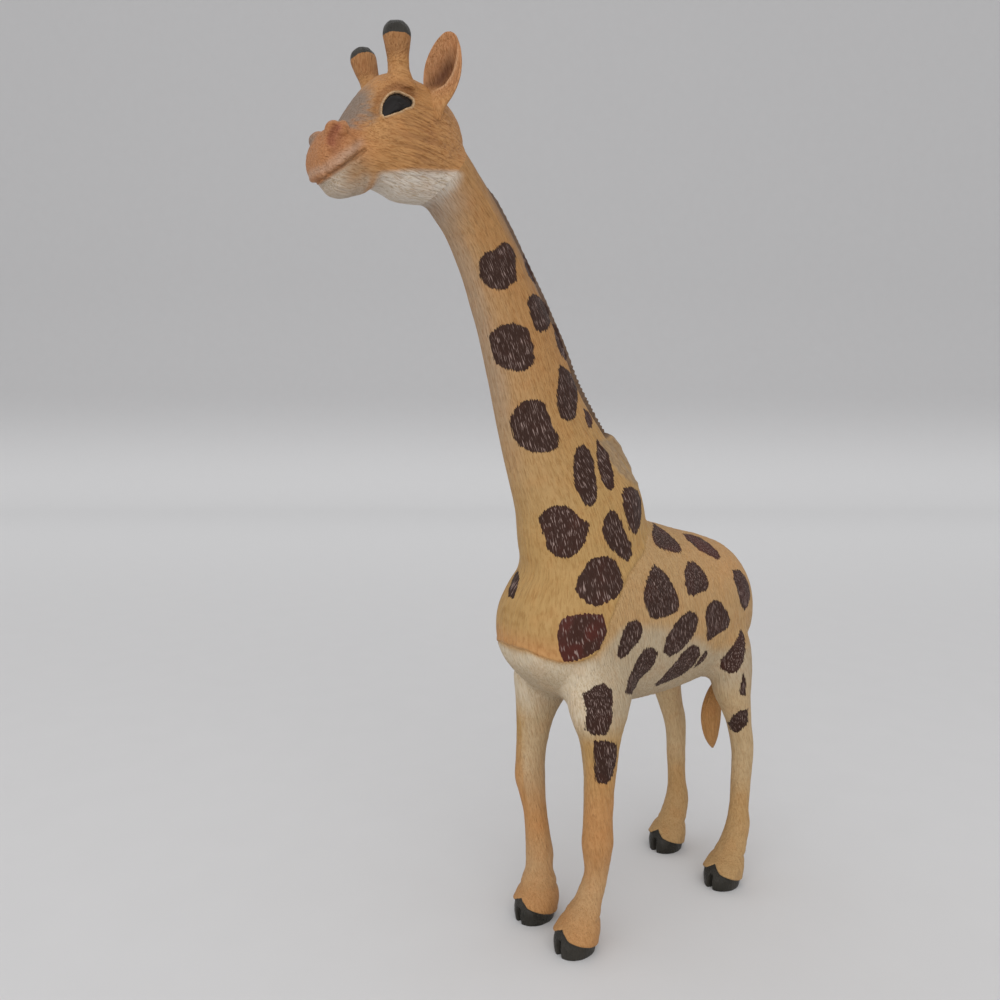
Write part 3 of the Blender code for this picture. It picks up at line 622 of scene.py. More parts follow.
def neck_rows():
    """Back, height, half width and half depth at even steps along the neck."""
    forward, rise, extra = np.array(NECK_SHARES).T
    back = BREAST + NECK_BASE_BACK - NECK_REACH * forward
    height = NECK_BASE_HEIGHT + NECK_RISE * rise
    width = NECK_TOP_WIDTH + (NECK_BASE_WIDTH - NECK_TOP_WIDTH) * extra
    depth = NECK_TOP_DEPTH + (NECK_BASE_DEPTH - NECK_TOP_DEPTH) * extra
    return flowing(np.stack((back, height, width / 2, depth / 2), 1))


def neck():
    rows = neck_rows()
    path = middle_line(rows)
    return tube(path, rows[:, 2:3] * ACROSS, rearward(path) * rows[:, 3:4])


def crest():
    """The mane's ridge on the nape."""
    rows = neck_rows()
    path = middle_line(rows)
    rear = rearward(path)
    place, rise, half_width = np.array(CREST_SHARES).T
    along = np.arange(len(rows)) * RING_STEP
    some = (along >= place[0]) & (along <= place[-1])
    reach = rows[:, 3] + np.interp(along, place, rise)
    centres = path + rear * (reach - CREST_DEPTH / 2)[:, None]
    sides = np.interp(along, place, half_width)[:, None] * ACROSS
    return tube(centres[some], sides[some], (rear * CREST_DEPTH / 2)[some], CREST_POWER)


def head_point(along, up, side=0.0):
    """A point of the head, in shares of its length and of half its depth."""
    back = BREAST + NECK_BASE_BACK - NECK_REACH + HEAD_BACK - HEAD_LENGTH * along
    return np.array((side, back, NECK_BASE_HEIGHT + NECK_RISE + HEAD_LIFT + HEAD_DEPTH / 2 * up))


def on_skull(along, up, hand):
    rows = np.array(HEAD_SHARES)
    top, bottom, width = (np.interp(along, rows[:, 0], rows[:, column]) for column in (1, 2, 3))
    rise = abs(2 * up - top - bottom) / (top - bottom)
    side = HEAD_WIDTH / 2 * width * (1 - rise**HEAD_POWER) ** (1 / HEAD_POWER)
    return head_point(along, up, hand * side)


def skull():
    rows = []
    for along, top, bottom, width in HEAD_SHARES:
        middle = head_point(along, (top + bottom) / 2)
        rows.append((middle[1], middle[2], HEAD_WIDTH / 2 * width, HEAD_DEPTH / 4 * (top - bottom)))
    return upright_tube(rows, HEAD_POWER)


def horn_axis(hand):
    return unit(np.array((hand * sin(HORN_FLARE), -sin(HORN_LEAN), 1.0)))


def horn(hand):
    foot = head_point(*HORN_PLACE, hand * HORN_SPREAD / 2)
    axis = horn_axis(hand)
    side = unit(np.cross(axis, BACKWARD))
    rows = flowing(np.array(HORN_SHARES) * (HORN_LENGTH, HORN_WIDTH / 2))
    rows = np.maximum(rows, (0, THINNEST))
    return tube(foot + axis * rows[:, :1], side * rows[:, 1:], np.cross(axis, side) * rows[:, 1:])


def ear_frame(hand):
    """The ear's axis, its side and facing directions and its place on the skull."""
    axis = unit(np.array((hand * sin(EAR_OUT_TILT), sin(EAR_BACK_TILT), 1.0)))
    facing = np.array((hand * sin(EAR_TURN), -cos(EAR_TURN), 0.0))
    side = unit(np.cross(axis, facing))
    return axis, side, np.cross(side, axis), on_skull(*EAR_PLACE, hand)


def nostril(hand):
    centre = head_point(*NOSTRIL_PLACE, hand * NOSTRIL_SPREAD / 2)
    angle = np.linspace(0.02, pi - 0.02, 24)[:, None]
    along, out = NOSTRIL_WIDTH / 2 * np.cos(angle), NOSTRIL_WIDTH / 2 * np.sin(angle)
    return tube(centre + along * BACKWARD, out * ACROSS, out * UPRIGHT)


def leg_rows(name):
    """Height, out, back, half width and half depth of a leg, from the sole to inside the trunk."""
    hand, (back, width), shares, root_shares = LEGS[name]
    rows = [(LEG_SEAM_HEIGHT * height, *row) for height, *row in shares]
    rise = LEG_ROOT_HEIGHT - LEG_SEAM_HEIGHT
    rows += [(LEG_SEAM_HEIGHT + rise * height, *row) for height, *row in root_shares]
    height, out, forward, half_width, half_depth = np.array(rows).T
    out = hand * LEG_SPREAD / 2 * out
    back = BREAST + back - width * forward
    return flowing(np.stack((height, out, back, width * half_width, width * half_depth), 1))


def leg(name):
    rows = leg_rows(name)
    return tube(rows[:, [1, 2, 0]], rows[:, 3:4] * ACROSS, rows[:, 4:5] * BACKWARD)


# Mesh work

def mesh_object(name, points, faces):
    mesh = bpy.data.meshes.new(name)
    mesh.from_pydata([tuple(point) for point in points], [], faces)
    mesh.validate()
    made = bpy.data.objects.new(name, mesh)
    bpy.context.collection.objects.link(made)
    return made


def arrays(mesh):
    """A mesh's points, normals and edges."""
    points, normals = np.empty((2, len(mesh.vertices) * 3))
    mesh.vertices.foreach_get("co", points)
    mesh.vertices.foreach_get("normal", normals)
    edges = np.empty(len(mesh.edges) * 2, dtype=np.int64)
    mesh.edges.foreach_get("vertices", edges)
    return points.reshape(-1, 3), normals.reshape(-1, 3), edges.reshape(-1, 2)


def merged(name, solids, voxel):
    """One skin around overlapping solids."""
    points, faces, start = [], [], 0
    for some, corners in solids:
        points.append(some)
        faces += [tuple(corner + start for corner in face) for face in corners]
        start += len(some)
    rough = mesh_object(name, np.concatenate(points), faces)
    modifier = rough.modifiers.new("skin", "REMESH")
    modifier.mode = "VOXEL"
    modifier.voxel_size = voxel
    modifier.adaptivity = 0.0
    graph = bpy.context.evaluated_depsgraph_get()
    mesh = bpy.data.meshes.new_from_object(rough.evaluated_get(graph))
    bpy.data.objects.remove(rough, do_unlink=True)
    return mesh


def relax(points, edges, weight, rounds):
    """Moves points towards the middle of their neighbours, weight by weight."""
    live = np.flatnonzero(weight > 0.004)
    marked = np.zeros(len(points), dtype=bool)
    marked[live] = True
    one, two = edges[:, 0], edges[:, 1]
    start = np.concatenate((one[marked[one]], two[marked[two]]))
    end = np.concatenate((two[marked[one]], one[marked[two]]))
    order = np.full(len(points), -1)
    order[live] = np.arange(len(live))
    start = order[start]
    count = np.bincount(start, minlength=len(live))[:, None]
    share = weight[live][:, None]
    for _ in range(rounds):
        total = np.stack([np.bincount(start, points[end, axis], len(live)) for axis in range(3)], 1)
        points[live] += share * (total / count - points[live])
    return points


def set_points(mesh, points):
    mesh.vertices.foreach_set("co", points.ravel())
    mesh.update()


def plane(back, height, tilt):
    """A point of a parting plane and its normal."""
    return np.array((0.0, BREAST + back, height)), np.array((0.0, -sin(tilt), cos(tilt)))


LEG_SEAM = (0.0, LEG_SEAM_HEIGHT, 0.0)
FACE_MARGIN = 3 * VOXEL


def seam_bend(points, seam):
    """How far the seam stands off its plane beside each point."""
    if seam is not NECK_SEAM:
        return np.zeros(len(points))
    place, normal = plane(*seam)
    along = (points - place) @ np.cross(ACROSS, -normal)
    bend = np.array(SEAM_BEND)
    return np.interp(along, bend[:, 0], bend[:, 1])


def beyond(points, seam):
    """How far points lie beyond a parting surface."""
    place, normal = plane(*seam)
    return (points - place) @ normal - seam_bend(points, seam)


def keep_faces(mesh, keep):
    """A new bmesh without the points that aren't kept."""
    bm = bmesh.new()
    bm.from_mesh(mesh)
    bm.verts.ensure_lookup_table()
    bmesh.ops.delete(bm, geom=[bm.verts[index] for index in np.flatnonzero(~keep)], context="VERTS")
    return bm


def bend(bm, seam, sign):
    """Moves a mesh so that the seam lies in its plane, or back again."""
    places = np.array([vert.co for vert in bm.verts])
    moved = places + sign * seam_bend(places, seam)[:, None] * plane(*seam)[1]
    for vert, place in zip(bm.verts, moved):
        vert.co = place


def cut(bm, seam, above):
    """Parts a mesh along a seam, keeps one side and closes it."""
    place, normal = plane(*seam)
    if seam is NECK_SEAM:
        bend(bm, seam, -1)
    geom = bm.verts[:] + bm.edges[:] + bm.faces[:]
    bmesh.ops.bisect_plane(
        bm, geom=geom, plane_co=place, plane_no=normal, clear_inner=above, clear_outer=not above, dist=1e-7
    )
    rim = [edge for edge in bm.edges if edge.is_boundary]
    for edge in rim:
        edge.smooth = False
    caps = bmesh.ops.holes_fill(bm, edges=rim, sides=0)["faces"]
    if seam is NECK_SEAM:
        along = np.cross(ACROSS, -normal)
        width, first, last = CAP_STRIPS
        for offset in np.arange(first, last, width):
            geom = caps + list({edge for face in caps for edge in face.edges})
            geom += list({vert for face in caps for vert in face.verts})
            made = bmesh.ops.bisect_plane(bm, geom=geom, plane_co=place + along * offset, plane_no=along)
            caps = [part for part in made["geom"] if isinstance(part, bmesh.types.BMFace)]
        bend(bm, seam, 1)


# Seeing through the photograph's camera

DRAW_IN_SHARES = (0.0, 0.05, 0.10, 0.15, 0.20, 0.30, 0.40)
CAMERA_SPOT = np.array(CAMERA_PLACE)
TILT, TURN = CAMERA_TURN[0] - pi / 2, CAMERA_TURN[2]
AHEAD = np.array((-sin(TURN) * cos(TILT), cos(TURN) * cos(TILT), sin(TILT)))
RIGHT = np.array((cos(TURN), sin(TURN), 0.0))
UP = np.cross(RIGHT, AHEAD)


def seen(tree, pixels):
    """Places and normals on the skin behind pixels of the photograph. A miss is drawn in to the middle."""
    places, normals = [], []
    middle = np.mean(pixels, axis=0)
    for pixel in pixels:
        for share in DRAW_IN_SHARES:
            across, down = np.array(pixel) + (middle - pixel) * share
            ray = AHEAD * FOCAL_PIXELS + RIGHT * (across - PHOTO_SIZE / 2) - UP * (down - PHOTO_SIZE / 2)
            place, normal, _, _ = tree.ray_cast(Vector(CAMERA_SPOT), Vector(unit(ray)))
            if place is not None:
                places.append(place)
                normals.append(normal)
                break
    return np.array(places), np.array(normals)


def mirrored(points):
    return points * (-1.0, 1.0, 1.0)


def line_distance(points, line):
    """How far points are from a line of places."""
    best = np.full(len(points), 1.0)
    for start, end in zip(line, line[1:]):
        along = end - start
        part = np.clip((points - start) @ along / (along @ along), 0.0, 1.0)
        best = np.minimum(best, np.linalg.norm(points - start - part[:, None] * along, axis=1))
    return best


def outline_distance(points, outline):
    """Signed distance of plane points from a closed outline, negative inside."""
    best = np.full(len(points), 1.0)
    inside = np.zeros(len(points), dtype=bool)
    for start, end in zip(outline, np.roll(outline, -1, axis=0)):
        along = end - start
        part = np.clip((points - start) @ along / max(along @ along, 1e-12), 0.0, 1.0)
        best = np.minimum(best, np.linalg.norm(points - start - part[:, None] * along, axis=1))
        crosses = (start[1] > points[:, 1]) != (end[1] > points[:, 1])
        rise = end[1] - start[1] if end[1] != start[1] else 1e-12
        inside ^= crosses & (points[:, 0] < start[0] + (points[:, 1] - start[1]) / rise * along[0])
    return np.where(inside, -best, best)


class Patch:
    """A closed outline laid on the skin, in the plane that touches it there."""

    def __init__(self, places, normals):
        self.middle = places.mean(axis=0)
        self.out = unit(normals.mean(axis=0))
        self.side = unit(np.cross(UPRIGHT, self.out))
        self.rise = np.cross(self.out, self.side)
        self.outline = self.flat(places)
        self.reach = np.linalg.norm(self.outline, axis=1).max()

    def flat(self, places):
        return np.stack(((places - self.middle) @ self.side, (places - self.middle) @ self.rise), 1)

    def distance(self, points, normals, margin=PAINT_REACH):
        """Signed distance of the points near it, and a margin's distance elsewhere."""
        far = np.full(len(points), margin)
        near = np.linalg.norm(points - self.middle, axis=1) < self.reach * 1.3 + margin
        near &= normals @ self.out > 0.15
        near = np.flatnonzero(near)
        if len(near):
            far[near] = np.minimum(outline_distance(self.flat(points[near]), self.outline), margin)
        return far


# The skin: one shape from the solids, smoothed where they meet

MANE_FOOT = 0.074
MANE_TOOTH = 0.0030
HUMP_END = 0.040


def neck_frame(points):
    """Place along the neck's axis and depth behind it."""
    rows = neck_rows()[::3]
    path = rows[:, :2]
    ahead = unit(np.gradient(path, axis=0))
    at = np.arange(len(path)) * RING_STEP * 3
    flat = points[:, 1:]
    best = np.empty(len(points), dtype=np.int64)
    for start in range(0, len(points), 20000):
        some = flat[start:start + 20000]
        best[start:start + 20000] = ((some[:, None] - path[None]) ** 2).sum(axis=2).argmin(axis=1)
    offset = flat - path[best]
    along = at[best] + (offset * ahead[best]).sum(axis=1)
    return along, offset[:, 0] * ahead[best, 1] - offset[:, 1] * ahead[best, 0]


def filled_creases():
    """A coarse skin smoothed so far that it fills the creases between neck, trunk, head and legs."""
    mesh = merged("fill", [trunk(), neck(), skull()] + [leg(name) for name in LEGS], FILL_VOXEL)
    points, _, edges = arrays(mesh)
    height = points[:, 2]
    weight = 0.5 * step(0.104, 0.120, height) * step(0.350, 0.330, height)
    behind = step(-0.004, 0.006, points[:, 1] - head_point(0.30, 0.0)[1])
    weight += 0.06 * behind * step(0.330, 0.350, height)
    relax(points, edges, weight, FILL_ROUNDS)
    corners = np.empty(len(mesh.loops), dtype=np.int64)
    mesh.loops.foreach_get("vertex_index", corners)
    return points, [tuple(face) for face in corners.reshape(-1, 4)]


def skin_mesh():
    solids = [filled_creases(), trunk(), neck(), skull(), crest()]
    for hand in (1, -1):
        solids += [horn(hand), nostril(hand)]
    solids += [leg(name) for name in LEGS]
    mesh = merged("skin", solids, VOXEL)
    points, normals, edges = arrays(mesh)
    height = points[:, 2]
    body = step(0.108, 0.116, height) * step(0.345, 0.325, height)
    poll = step(0.013, 0.008, np.abs(beyond(points, HEAD_SEAM))) * step(0.32, 0.34, height)
    body = np.maximum(body, poll)
    horns = step(0.0, 0.004, height - head_point(0.5, 0.8)[2])
    hooves = step(0.016, 0.010, height)
    along, depth = neck_frame(points)
    ridge = step(0.0050, 0.0036, np.abs(points[:, 0])) * step(0.004, 0.010, depth)
    ridge *= step(0.036, 0.052, along) * step(0.222, 0.212, along)
    share = (RELAX_SPREAD / VOXEL) ** 2
    relax(points, edges, np.full(len(points), 0.5), int(2 + share * 0.12))
    weight = 0.5 * (1 - horns) * (1 - hooves) * (1 - 0.95 * ridge) * (0.25 + 0.75 * body)
    relax(points, edges, weight, int(share))
    points[points[:, 2] < 0.0005, 2] = 0.0
    set_points(mesh, points)
    points, normals, _ = arrays(mesh)
    along, depth = neck_frame(points)
    place, spread, height = WITHERS
    swell = height * bell(along - place, spread) * step(0.002, 0.014, depth)
    place, spread, height = NAPE_HOLLOW
    beside = step(HUMP_END, MANE_FOOT, along) * step(0.225, 0.200, along) * step(0.002, 0.008, depth)
    swell -= height * beside * bell(np.abs(points[:, 0]) - place, spread)
    set_points(mesh, points + normals * swell[:, None])
    return mesh


skin = skin_mesh()
tree = BVHTree.FromPolygons(
    [vertex.co for vertex in skin.vertices], [tuple(face.vertices) for face in skin.polygons]
)


# Spots

OTHER_SIDE_SHIFT = (0.0, 0.007, 0.005)


def make_spots():
    """Patches of all spots with their redness. Those off the middle are repeated on the other side."""
    made = []
    for red, *outline in SPOT_OUTLINES:
        places, normals = seen(tree, outline)
        if len(places) < 5:
            continue
        patch = Patch(places, normals)
        made.append((patch, red))
        if patch.middle[0] > 0.35 * patch.reach:
            made.append((Patch(mirrored(places) + OTHER_SIDE_SHIFT, mirrored(normals)), red))
    return made


SPOTS = make_spots()


def patches_by_hand(outline):
    """Rim and patch of an outline on the left side and of its mirror image on the right, by hand."""
    rim, normals = seen(tree, outline)
    made = {}
    for hand in (1, -1):
        flip = (hand, 1.0, 1.0)
        made[hand] = (rim * flip, Patch(rim * flip, normals * flip))
    return made


EYES = patches_by_hand(EYE_OUTLINE)
HUMPS = patches_by_hand(HUMP_OUTLINE)


def place_and_mirror(pixel):
    """The place behind a pixel and its mirror image, or nothing where the pixel misses the skin."""
    place = seen(tree, (pixel,))[0]
    return (*place, *mirrored(place)) if len(place) else ()


def both_sides(points, pixels):
    """Distance from a line of pixels on the skin and its mirror image."""
    line = seen(tree, pixels)[0]
    return np.minimum(line_distance(points, line), line_distance(points, mirrored(line)))


# Sculpting

def mane_share(points, along, depth, width):
    """1 on the crest of the mane and 0 off it."""
    on_neck = step(0.0, 0.004, depth) * step(0.008, 0.002, beyond(points, HEAD_SEAM))
    return bell(points[:, 0], width) * on_neck * step(MANE_FOOT - 0.001, MANE_FOOT + 0.001, along)


def hump_share(points, along, depth, width):
    """The pale swelling below the mane's foot."""
    shape = step(MANE_FOOT + 0.002, MANE_FOOT - 0.004, along) * step(HUMP_END, MANE_FOOT - 0.012, along)
    return shape * step(0.0, 0.01, depth) * bell(points[:, 0], width)


def hump_sides(points, normals):
    """1 on the shaggy flanks of the hump and 0 off them."""
    away = np.minimum(*(patch.distance(points, normals) for _, patch in HUMPS.values()))
    return step(0.0012, -0.0012, away)


def carve(points, normals):
    """The skin's points moved for seam, mane, muscles and hooves."""
    out = np.zeros(len(points))
    seam = beyond(points, NECK_SEAM)
    soft = 1 - 0.75 * step(0.195, 0.215, points[:, 2])
    out -= 0.0006 * bell(seam, 0.0006) * soft
    out += 0.0005 * bell(seam - 0.0022, 0.0018) * soft
    along, depth = neck_frame(points)
    mane = mane_share(points, along, depth, 0.0030)
    tooth = np.abs((along / MANE_TOOTH + 0.4 * noise(points / 0.004, 8)) % 1.0 - 0.5) * 2
    out += mane * (0.0003 + 0.0006 * step(0.135, 0.115, along)) * (tooth - 0.5)
    lumps = np.maximum(hump_share(points, along, depth, 0.0060), hump_sides(points, normals))
    out += lumps * (0.0004 + 0.0009 * noise(points / 0.0038, 14))
    top = beyond(points, HEAD_SEAM)
    fur = np.where((seam > 0)[:, None], fur_places(points, "neck"), fur_places(points, "body"))
    fur = np.where((top > 0)[:, None], fur_places(points, "head"), fur)
    hairy = step(0.010, 0.020, points[:, 2]) * (1 - bell(top, 0.002))
    out += hairy * (0.00014 * noise(fur * 0.8, 3) + 0.00012 * noise(fur * 0.4, 4))
    moved = points + normals * out[:, None]
    for name in LEGS:
        moved = shape_hoof(moved, name)
    return moved


def hoof_height(points, name):
    """Height of the hoof's upper edge beside points, their side place and how far forward they face."""
    sole = leg_rows(name)[0]
    side = (points[:, 0] - sole[1]) / sole[3]
    front = (sole[2] - points[:, 1]) / sole[4]
    facing = front / np.maximum(np.hypot(side, front), 1e-6)
    edge = 0.0024 + 0.0085 * ((1 + facing) / 2) ** 1.2 + 0.0015 * step(0.80, 1.0, facing)
    return edge + 0.0010 * bell(side, 0.12) * (facing > 0), side, facing


def beside_leg(points, name):
    """Which points are on the leg's side, front to back about where the leg is."""
    hand, (back, _), _, _ = LEGS[name]
    return (points[:, 0] * hand > 0) & (np.abs(points[:, 1] - BREAST - back) < FOOT_REACH)


def on_leg(points, name):
    return beside_leg(points, name) & (points[:, 2] < LEG_SEAM_HEIGHT)


def shape_hoof(points, name):
    sole = leg_rows(name)[0]
    foot = np.flatnonzero(on_leg(points, name) & (points[:, 2] < 0.02))
    some = points[foot]
    edge, side, facing = hoof_height(some, name)
    below = step(0.0006, -0.0006, some[:, 2] - edge)
    rim = bell(some[:, 2] - edge - 0.0012, 0.0012)
    away = some[:, :2] - sole[1:3]
    bulb = 0.0005 * bell(some[:, 2] - 0.0095, 0.0040) * (1 - below)
    bulb -= 0.0007 * bell(some[:, 2] - 0.0165, 0.0014)
    out = unit(away) * (0.0003 * rim - 0.0007 * below + bulb)[:, None]
    cleft = 0.0042 * bell(some[:, 0] - sole[1], 0.0011)
    cleft *= step(0.0, 0.6, facing) * step(0.0092, 0.0060, some[:, 2])
    points[foot, :2] += out
    points[foot, 1] += cleft
    return points


NECK_HAIR_RADIUS = 0.019


def fur_places(points, kind):
    """Places in millimetres, drawn together along the lie of the hair."""
    if kind == "head":
        horn_foot = head_point(0.5, 1.0)
        above = points[:, 2] - horn_foot[2]
        round_horn = step(-0.002, 0.004, above) * 0.875 * (points[:, 1] - horn_foot[1])
        rise = horn_foot[2] + np.minimum(above, 0.14 * above)
        fur = np.stack((points[:, 0], points[:, 1] / 8 + round_horn, rise + 0.10 * points[:, 1]), 1)
    elif kind == "neck":
        along, depth = neck_frame(points)
        around = np.arctan2(np.abs(points[:, 0]), -depth) * NECK_HAIR_RADIUS
        fur = np.stack((around, np.zeros(len(points)), along / 9), 1)
    else:
        fur = np.stack((points[:, 0], points[:, 1] + 0.25 * points[:, 2], points[:, 2] / 8), 1)
    return fur / MM


def cheek_furrows(points, normals):
    """1 in the long furrows of the cheeks and 0 beside them."""
    cheek = bell(np.linalg.norm(points[:, 1:] - head_point(0.36, -0.10)[1:], axis=1), 0.019)
    cheek *= step(0.25, 0.6, np.abs(normals[:, 0]))
    fur = fur_places(points, "head") * (0.6, 0.6, 1.0)
    wave = noise(fur * 0.58 + 40.0, 6) + 0.30 * noise(fur * 1.2, 9)
    return cheek * bell(wave, 0.17)


def bumps(points, normals, places):
    """Soft swellings and hollows: pixel, radius and height, on both sides."""
    out = np.zeros(len(points))
    for *pixel, radius, height in places:
        for centre in place_and_mirror(pixel):
            out += height * bell(np.linalg.norm(points - centre, axis=1), radius)
    return out


FACE_BUMPS = (
    (398, 82, 0.0045, 0.0010),
    (413, 92, 0.0040, 0.0005),
    (372, 108, 0.0035, -0.0007),
    (354, 116, 0.0050, 0.0005),
    (337, 128, 0.0042, 0.0011),
    (331, 142, 0.0034, 0.0009),
    (352, 150, 0.0045, 0.0006),
    (334, 163, 0.0040, 0.0005),
    (340, 187, 0.0045, 0.0005),
    (356, 184, 0.0040, 0.0004),
    (371, 176, 0.0035, -0.0007),
    (366, 138, 0.0040, -0.0005),
    (415, 140, 0.0110, 0.0006),
    (425, 185, 0.0080, 0.0003),
    (428, 92, 0.0042, 0.0009),
    (440, 108, 0.0050, 0.0006),
)
NOSTRIL_HOLLOW = ((339, 137), (337, 143), (334, 150))
LIP_FOLD = ((343, 129), (349.5, 139), (350, 150), (342, 161), (332, 167))


def line_height(points, pixels):
    """How far points lie above a line of pixels on the animal's side."""
    line = seen(tree, pixels)[0]
    order = np.argsort(line[:, 1])
    return points[:, 2] - np.interp(points[:, 1], line[order, 1], line[order, 2])


def around_mouth(points):
    """How far points lie below the mouth's line, behind its front end and off the line itself."""
    lip = -line_height(points, MOUTH_LINE)
    front = points[:, 1] - seen(tree, MOUTH_LINE)[0][:, 1].min()
    return lip, front, np.minimum(both_sides(points, MOUTH_LINE), np.where(front < 0, np.abs(lip), 1.0))


def carve_face(points, normals):
    """The head's points moved for lids, brow, nostrils, lips and cheek furrows."""
    out = bumps(points, normals, FACE_BUMPS)
    lip, front, mouth = around_mouth(points)
    out -= 0.0009 * bell(mouth, 0.00065)
    out += 0.0003 * bell(mouth - 0.0018, 0.0010)
    out -= 0.0013 * step(0.0002, 0.0022, lip) * step(0.007, 0.001, front)
    out -= 0.0013 * bell(both_sides(points, BROW_LINE), 0.0015)
    out -= 0.0018 * bell(both_sides(points, NOSTRIL_LINE), 0.0013)
    out -= 0.0007 * bell(both_sides(points, NOSTRIL_HOLLOW), 0.0018)
    fold = both_sides(points, LIP_FOLD)
    out += 0.0009 * bell(fold, 0.0018) - 0.0005 * bell(fold - 0.0034, 0.0010)
    out -= 0.00050 * cheek_furrows(points, normals)
    for _, patch in EYES.values():
        away = patch.distance(points, normals)
        out -= 0.0016 * step(0.0002, -0.0006, away)
        out += 0.0004 * bell(away - 0.0005, 0.0005)
    return points + normals * out[:, None]


set_points(skin, carve(*arrays(skin)[:2]))


# Painting

def paint(mesh, kind, hollow_shade=None, ridge=None):
    """Stores colour, spot distance, redness, black distance and hair places on a mesh's points."""
    points, normals, _ = arrays(mesh)
    count = len(points)
    tint = np.tile(np.array(TAN), (count, 1))
    spot = np.full(count, PAINT_REACH)
    red = np.zeros(count)
    black = np.full(count, PAINT_REACH)

    def wash(colour, share):
        tint[:] = tint + (np.array(colour) - tint) * np.clip(share, 0, 1)[:, None]

    if kind in ("body", "neck", "leg"):
        for patch, redness in SPOTS:
            away = patch.distance(points, normals)
            nearer = away < spot
            spot[nearer] = away[nearer]
            patchy = 0.25 + 0.75 * step(-0.35, 0.25, noise(points / 0.007, 12))
            red[nearer] = redness * patchy[nearer]
    if kind in ("body", "neck", "leg", "head"):
        wash_skin(points, normals, wash)
    if kind == "leg":
        for name in LEGS:
            foot = on_leg(points, name)
            edge = hoof_height(points, name)[0]
            black[foot] = np.clip(points[foot, 2] - edge[foot], -PAINT_REACH, PAINT_REACH)
    if kind == "head":
        wash_face(points, normals, wash)
        for hand in (1, -1):
            foot = head_point(*HORN_PLACE, hand * HORN_SPREAD / 2)
            axis = horn_axis(hand)
            along = (points - foot) @ axis
            off = np.cross(points - foot, axis)
            near = (np.linalg.norm(off, axis=1) < 0.009) & (along > 0.004)
            cap = foot + axis * HORN_LENGTH * HORN_CAP_SHARE[hand]
            below_cap = (cap - points) @ unit(axis + HORN_CAP_TILT[hand])
            dome = HORN_CAP_DOME * (off**2).sum(axis=1)
            black[near] = np.clip(below_cap[near] + dome[near], -PAINT_REACH, PAINT_REACH)
    if kind == "ear":
        wash(EAR_PINK, np.full(count, 1.0))
        # painted shade: the ear's hollow darkened
        wash(EAR_HOLLOW_SHADE, hollow_shade)
        # painted highlight: a pale line along the ear's fold
        wash(EAR_RIDGE_HIGHLIGHT, ridge)
        foot_height = ear_frame(1)[3][2]
        wash(ORANGE_TAN, step(foot_height + 0.010, foot_height, points[:, 2]) * 0.9)
    if kind == "tail":
        wash(ORANGE_TAN, np.full(count, 0.8))
    store(mesh, "tint", "FLOAT_COLOR", np.concatenate((tint, np.ones((count, 1))), 1))
    store(mesh, "fur", "FLOAT_VECTOR", fur_places(points, kind))
    store(mesh, "spot", "FLOAT", spot / MM)
    store(mesh, "red", "FLOAT", red)
    store(mesh, "black", "FLOAT", black / MM)


def wash_skin(points, normals, wash):
    """The airbrushed ground colours of neck, body and legs, with painted shade on the upper neck and painted
    light on the rump and back.
    """
    back, height = points[:, 1] - BREAST, points[:, 2]
    out = np.abs(points[:, 0])
    neck_side = beyond(points, NECK_SEAM)
    along, depth = neck_frame(points)
    on_neck = step(-0.001, 0.001, neck_side)
    wash(BODY_TAN, (1 - on_neck) * step(0.10, 0.13, height) * 0.8)
    # painted shade: the upper neck darker than the body
    wash(UPPER_TAN_SHADED, on_neck * step(0.05, 0.15, along) * 0.9)
    wash(ORANGE_TAN, on_neck * step(0.022, 0.004, neck_side) * step(0.030, 0.010, back) * 0.8)
    # painted light: the rump and backline paler than the rest of the trunk
    wash(RUMP_LIT_TAN, step(0.08, 0.14, back) * step(0.17, 0.19, height) * (1 - on_neck) * 0.85)
    throat = step(-0.25, -0.95, normals[:, 1]) * on_neck * step(0.22, 0.30, height)
    wash(THROAT_GREY, throat * step(0.012, 0.002, out) * 0.55)
    wash(PALE_TAN, on_neck * step(-0.2, -0.7, normals[:, 1]) * step(0.20, 0.25, height) * 0.2)
    under_jaw = step(0.0012, -0.0012, line_height(points, JAW_LINE))
    under_jaw *= step(head_point(0.05, 0.0)[1], head_point(0.16, 0.0)[1], points[:, 1])
    wash(JAW_WHITE, under_jaw * step(-0.007, -0.001, beyond(points, HEAD_SEAM)))
    jaw_back = bell(np.linalg.norm(points[:, 1:] - head_point(0.20, -1.05)[1:], axis=1), 0.010)
    wash(THROAT_GREY, jaw_back * 0.7)
    nape = step(0.0, 0.010, depth) * on_neck
    wash(NAPE_OLIVE, nape * bell(out, 0.0078) * step(0.10, 0.15, along) * 0.6)
    wash(MANE_GREY, np.minimum(mane_share(points, along, depth, 0.0040) * 1.7, 1.0) * 0.9)
    wash(HUMP_TAN, np.minimum(hump_share(points, along, depth, 0.0150) * 1.4, 1.0) * 0.85)
    wash(HUMP_TAN, hump_sides(points, normals) * 0.8)
    below = line_height(points, BELLY_LINE)
    flank = step(0.004, -0.006, below) * (1 - on_neck) * step(0.175, 0.165, height)
    wash(OFF_WHITE, flank)
    wash(BREAST_WHITE, step(0.0, -0.004, neck_side) * step(0.042, 0.020, back) * step(0.19, 0.165, height))
    wash(OFF_WHITE, step(-0.25, -0.75, normals[:, 2]) * (1 - on_neck) * step(0.10, 0.12, height))
    inner = step(-0.1, 0.7, -normals[:, 0] * np.sign(points[:, 0]))
    front = step(0.10, 0.08, back)
    wash(TAN, step(0.128, 0.108, height) * front * (1 - inner * 0.5))
    wash(ORANGE_TAN, step(0.112, 0.070, height) * (1 - 0.8 * inner * step(0.05, 0.09, height)))
    wash(PALE_TAN, front * bell(height - 0.030, 0.014) * 0.45)
    wash(TAN, (1 - front) * step(0.10, 0.07, height) * 0.7)
    wash(PALE_TAN, (1 - front) * step(0.06, 0.03, height) * 0.3)
    wash(PALE_TAN, (1 - front) * step(0.13, 0.11, height) * step(0.040, 0.070, height))


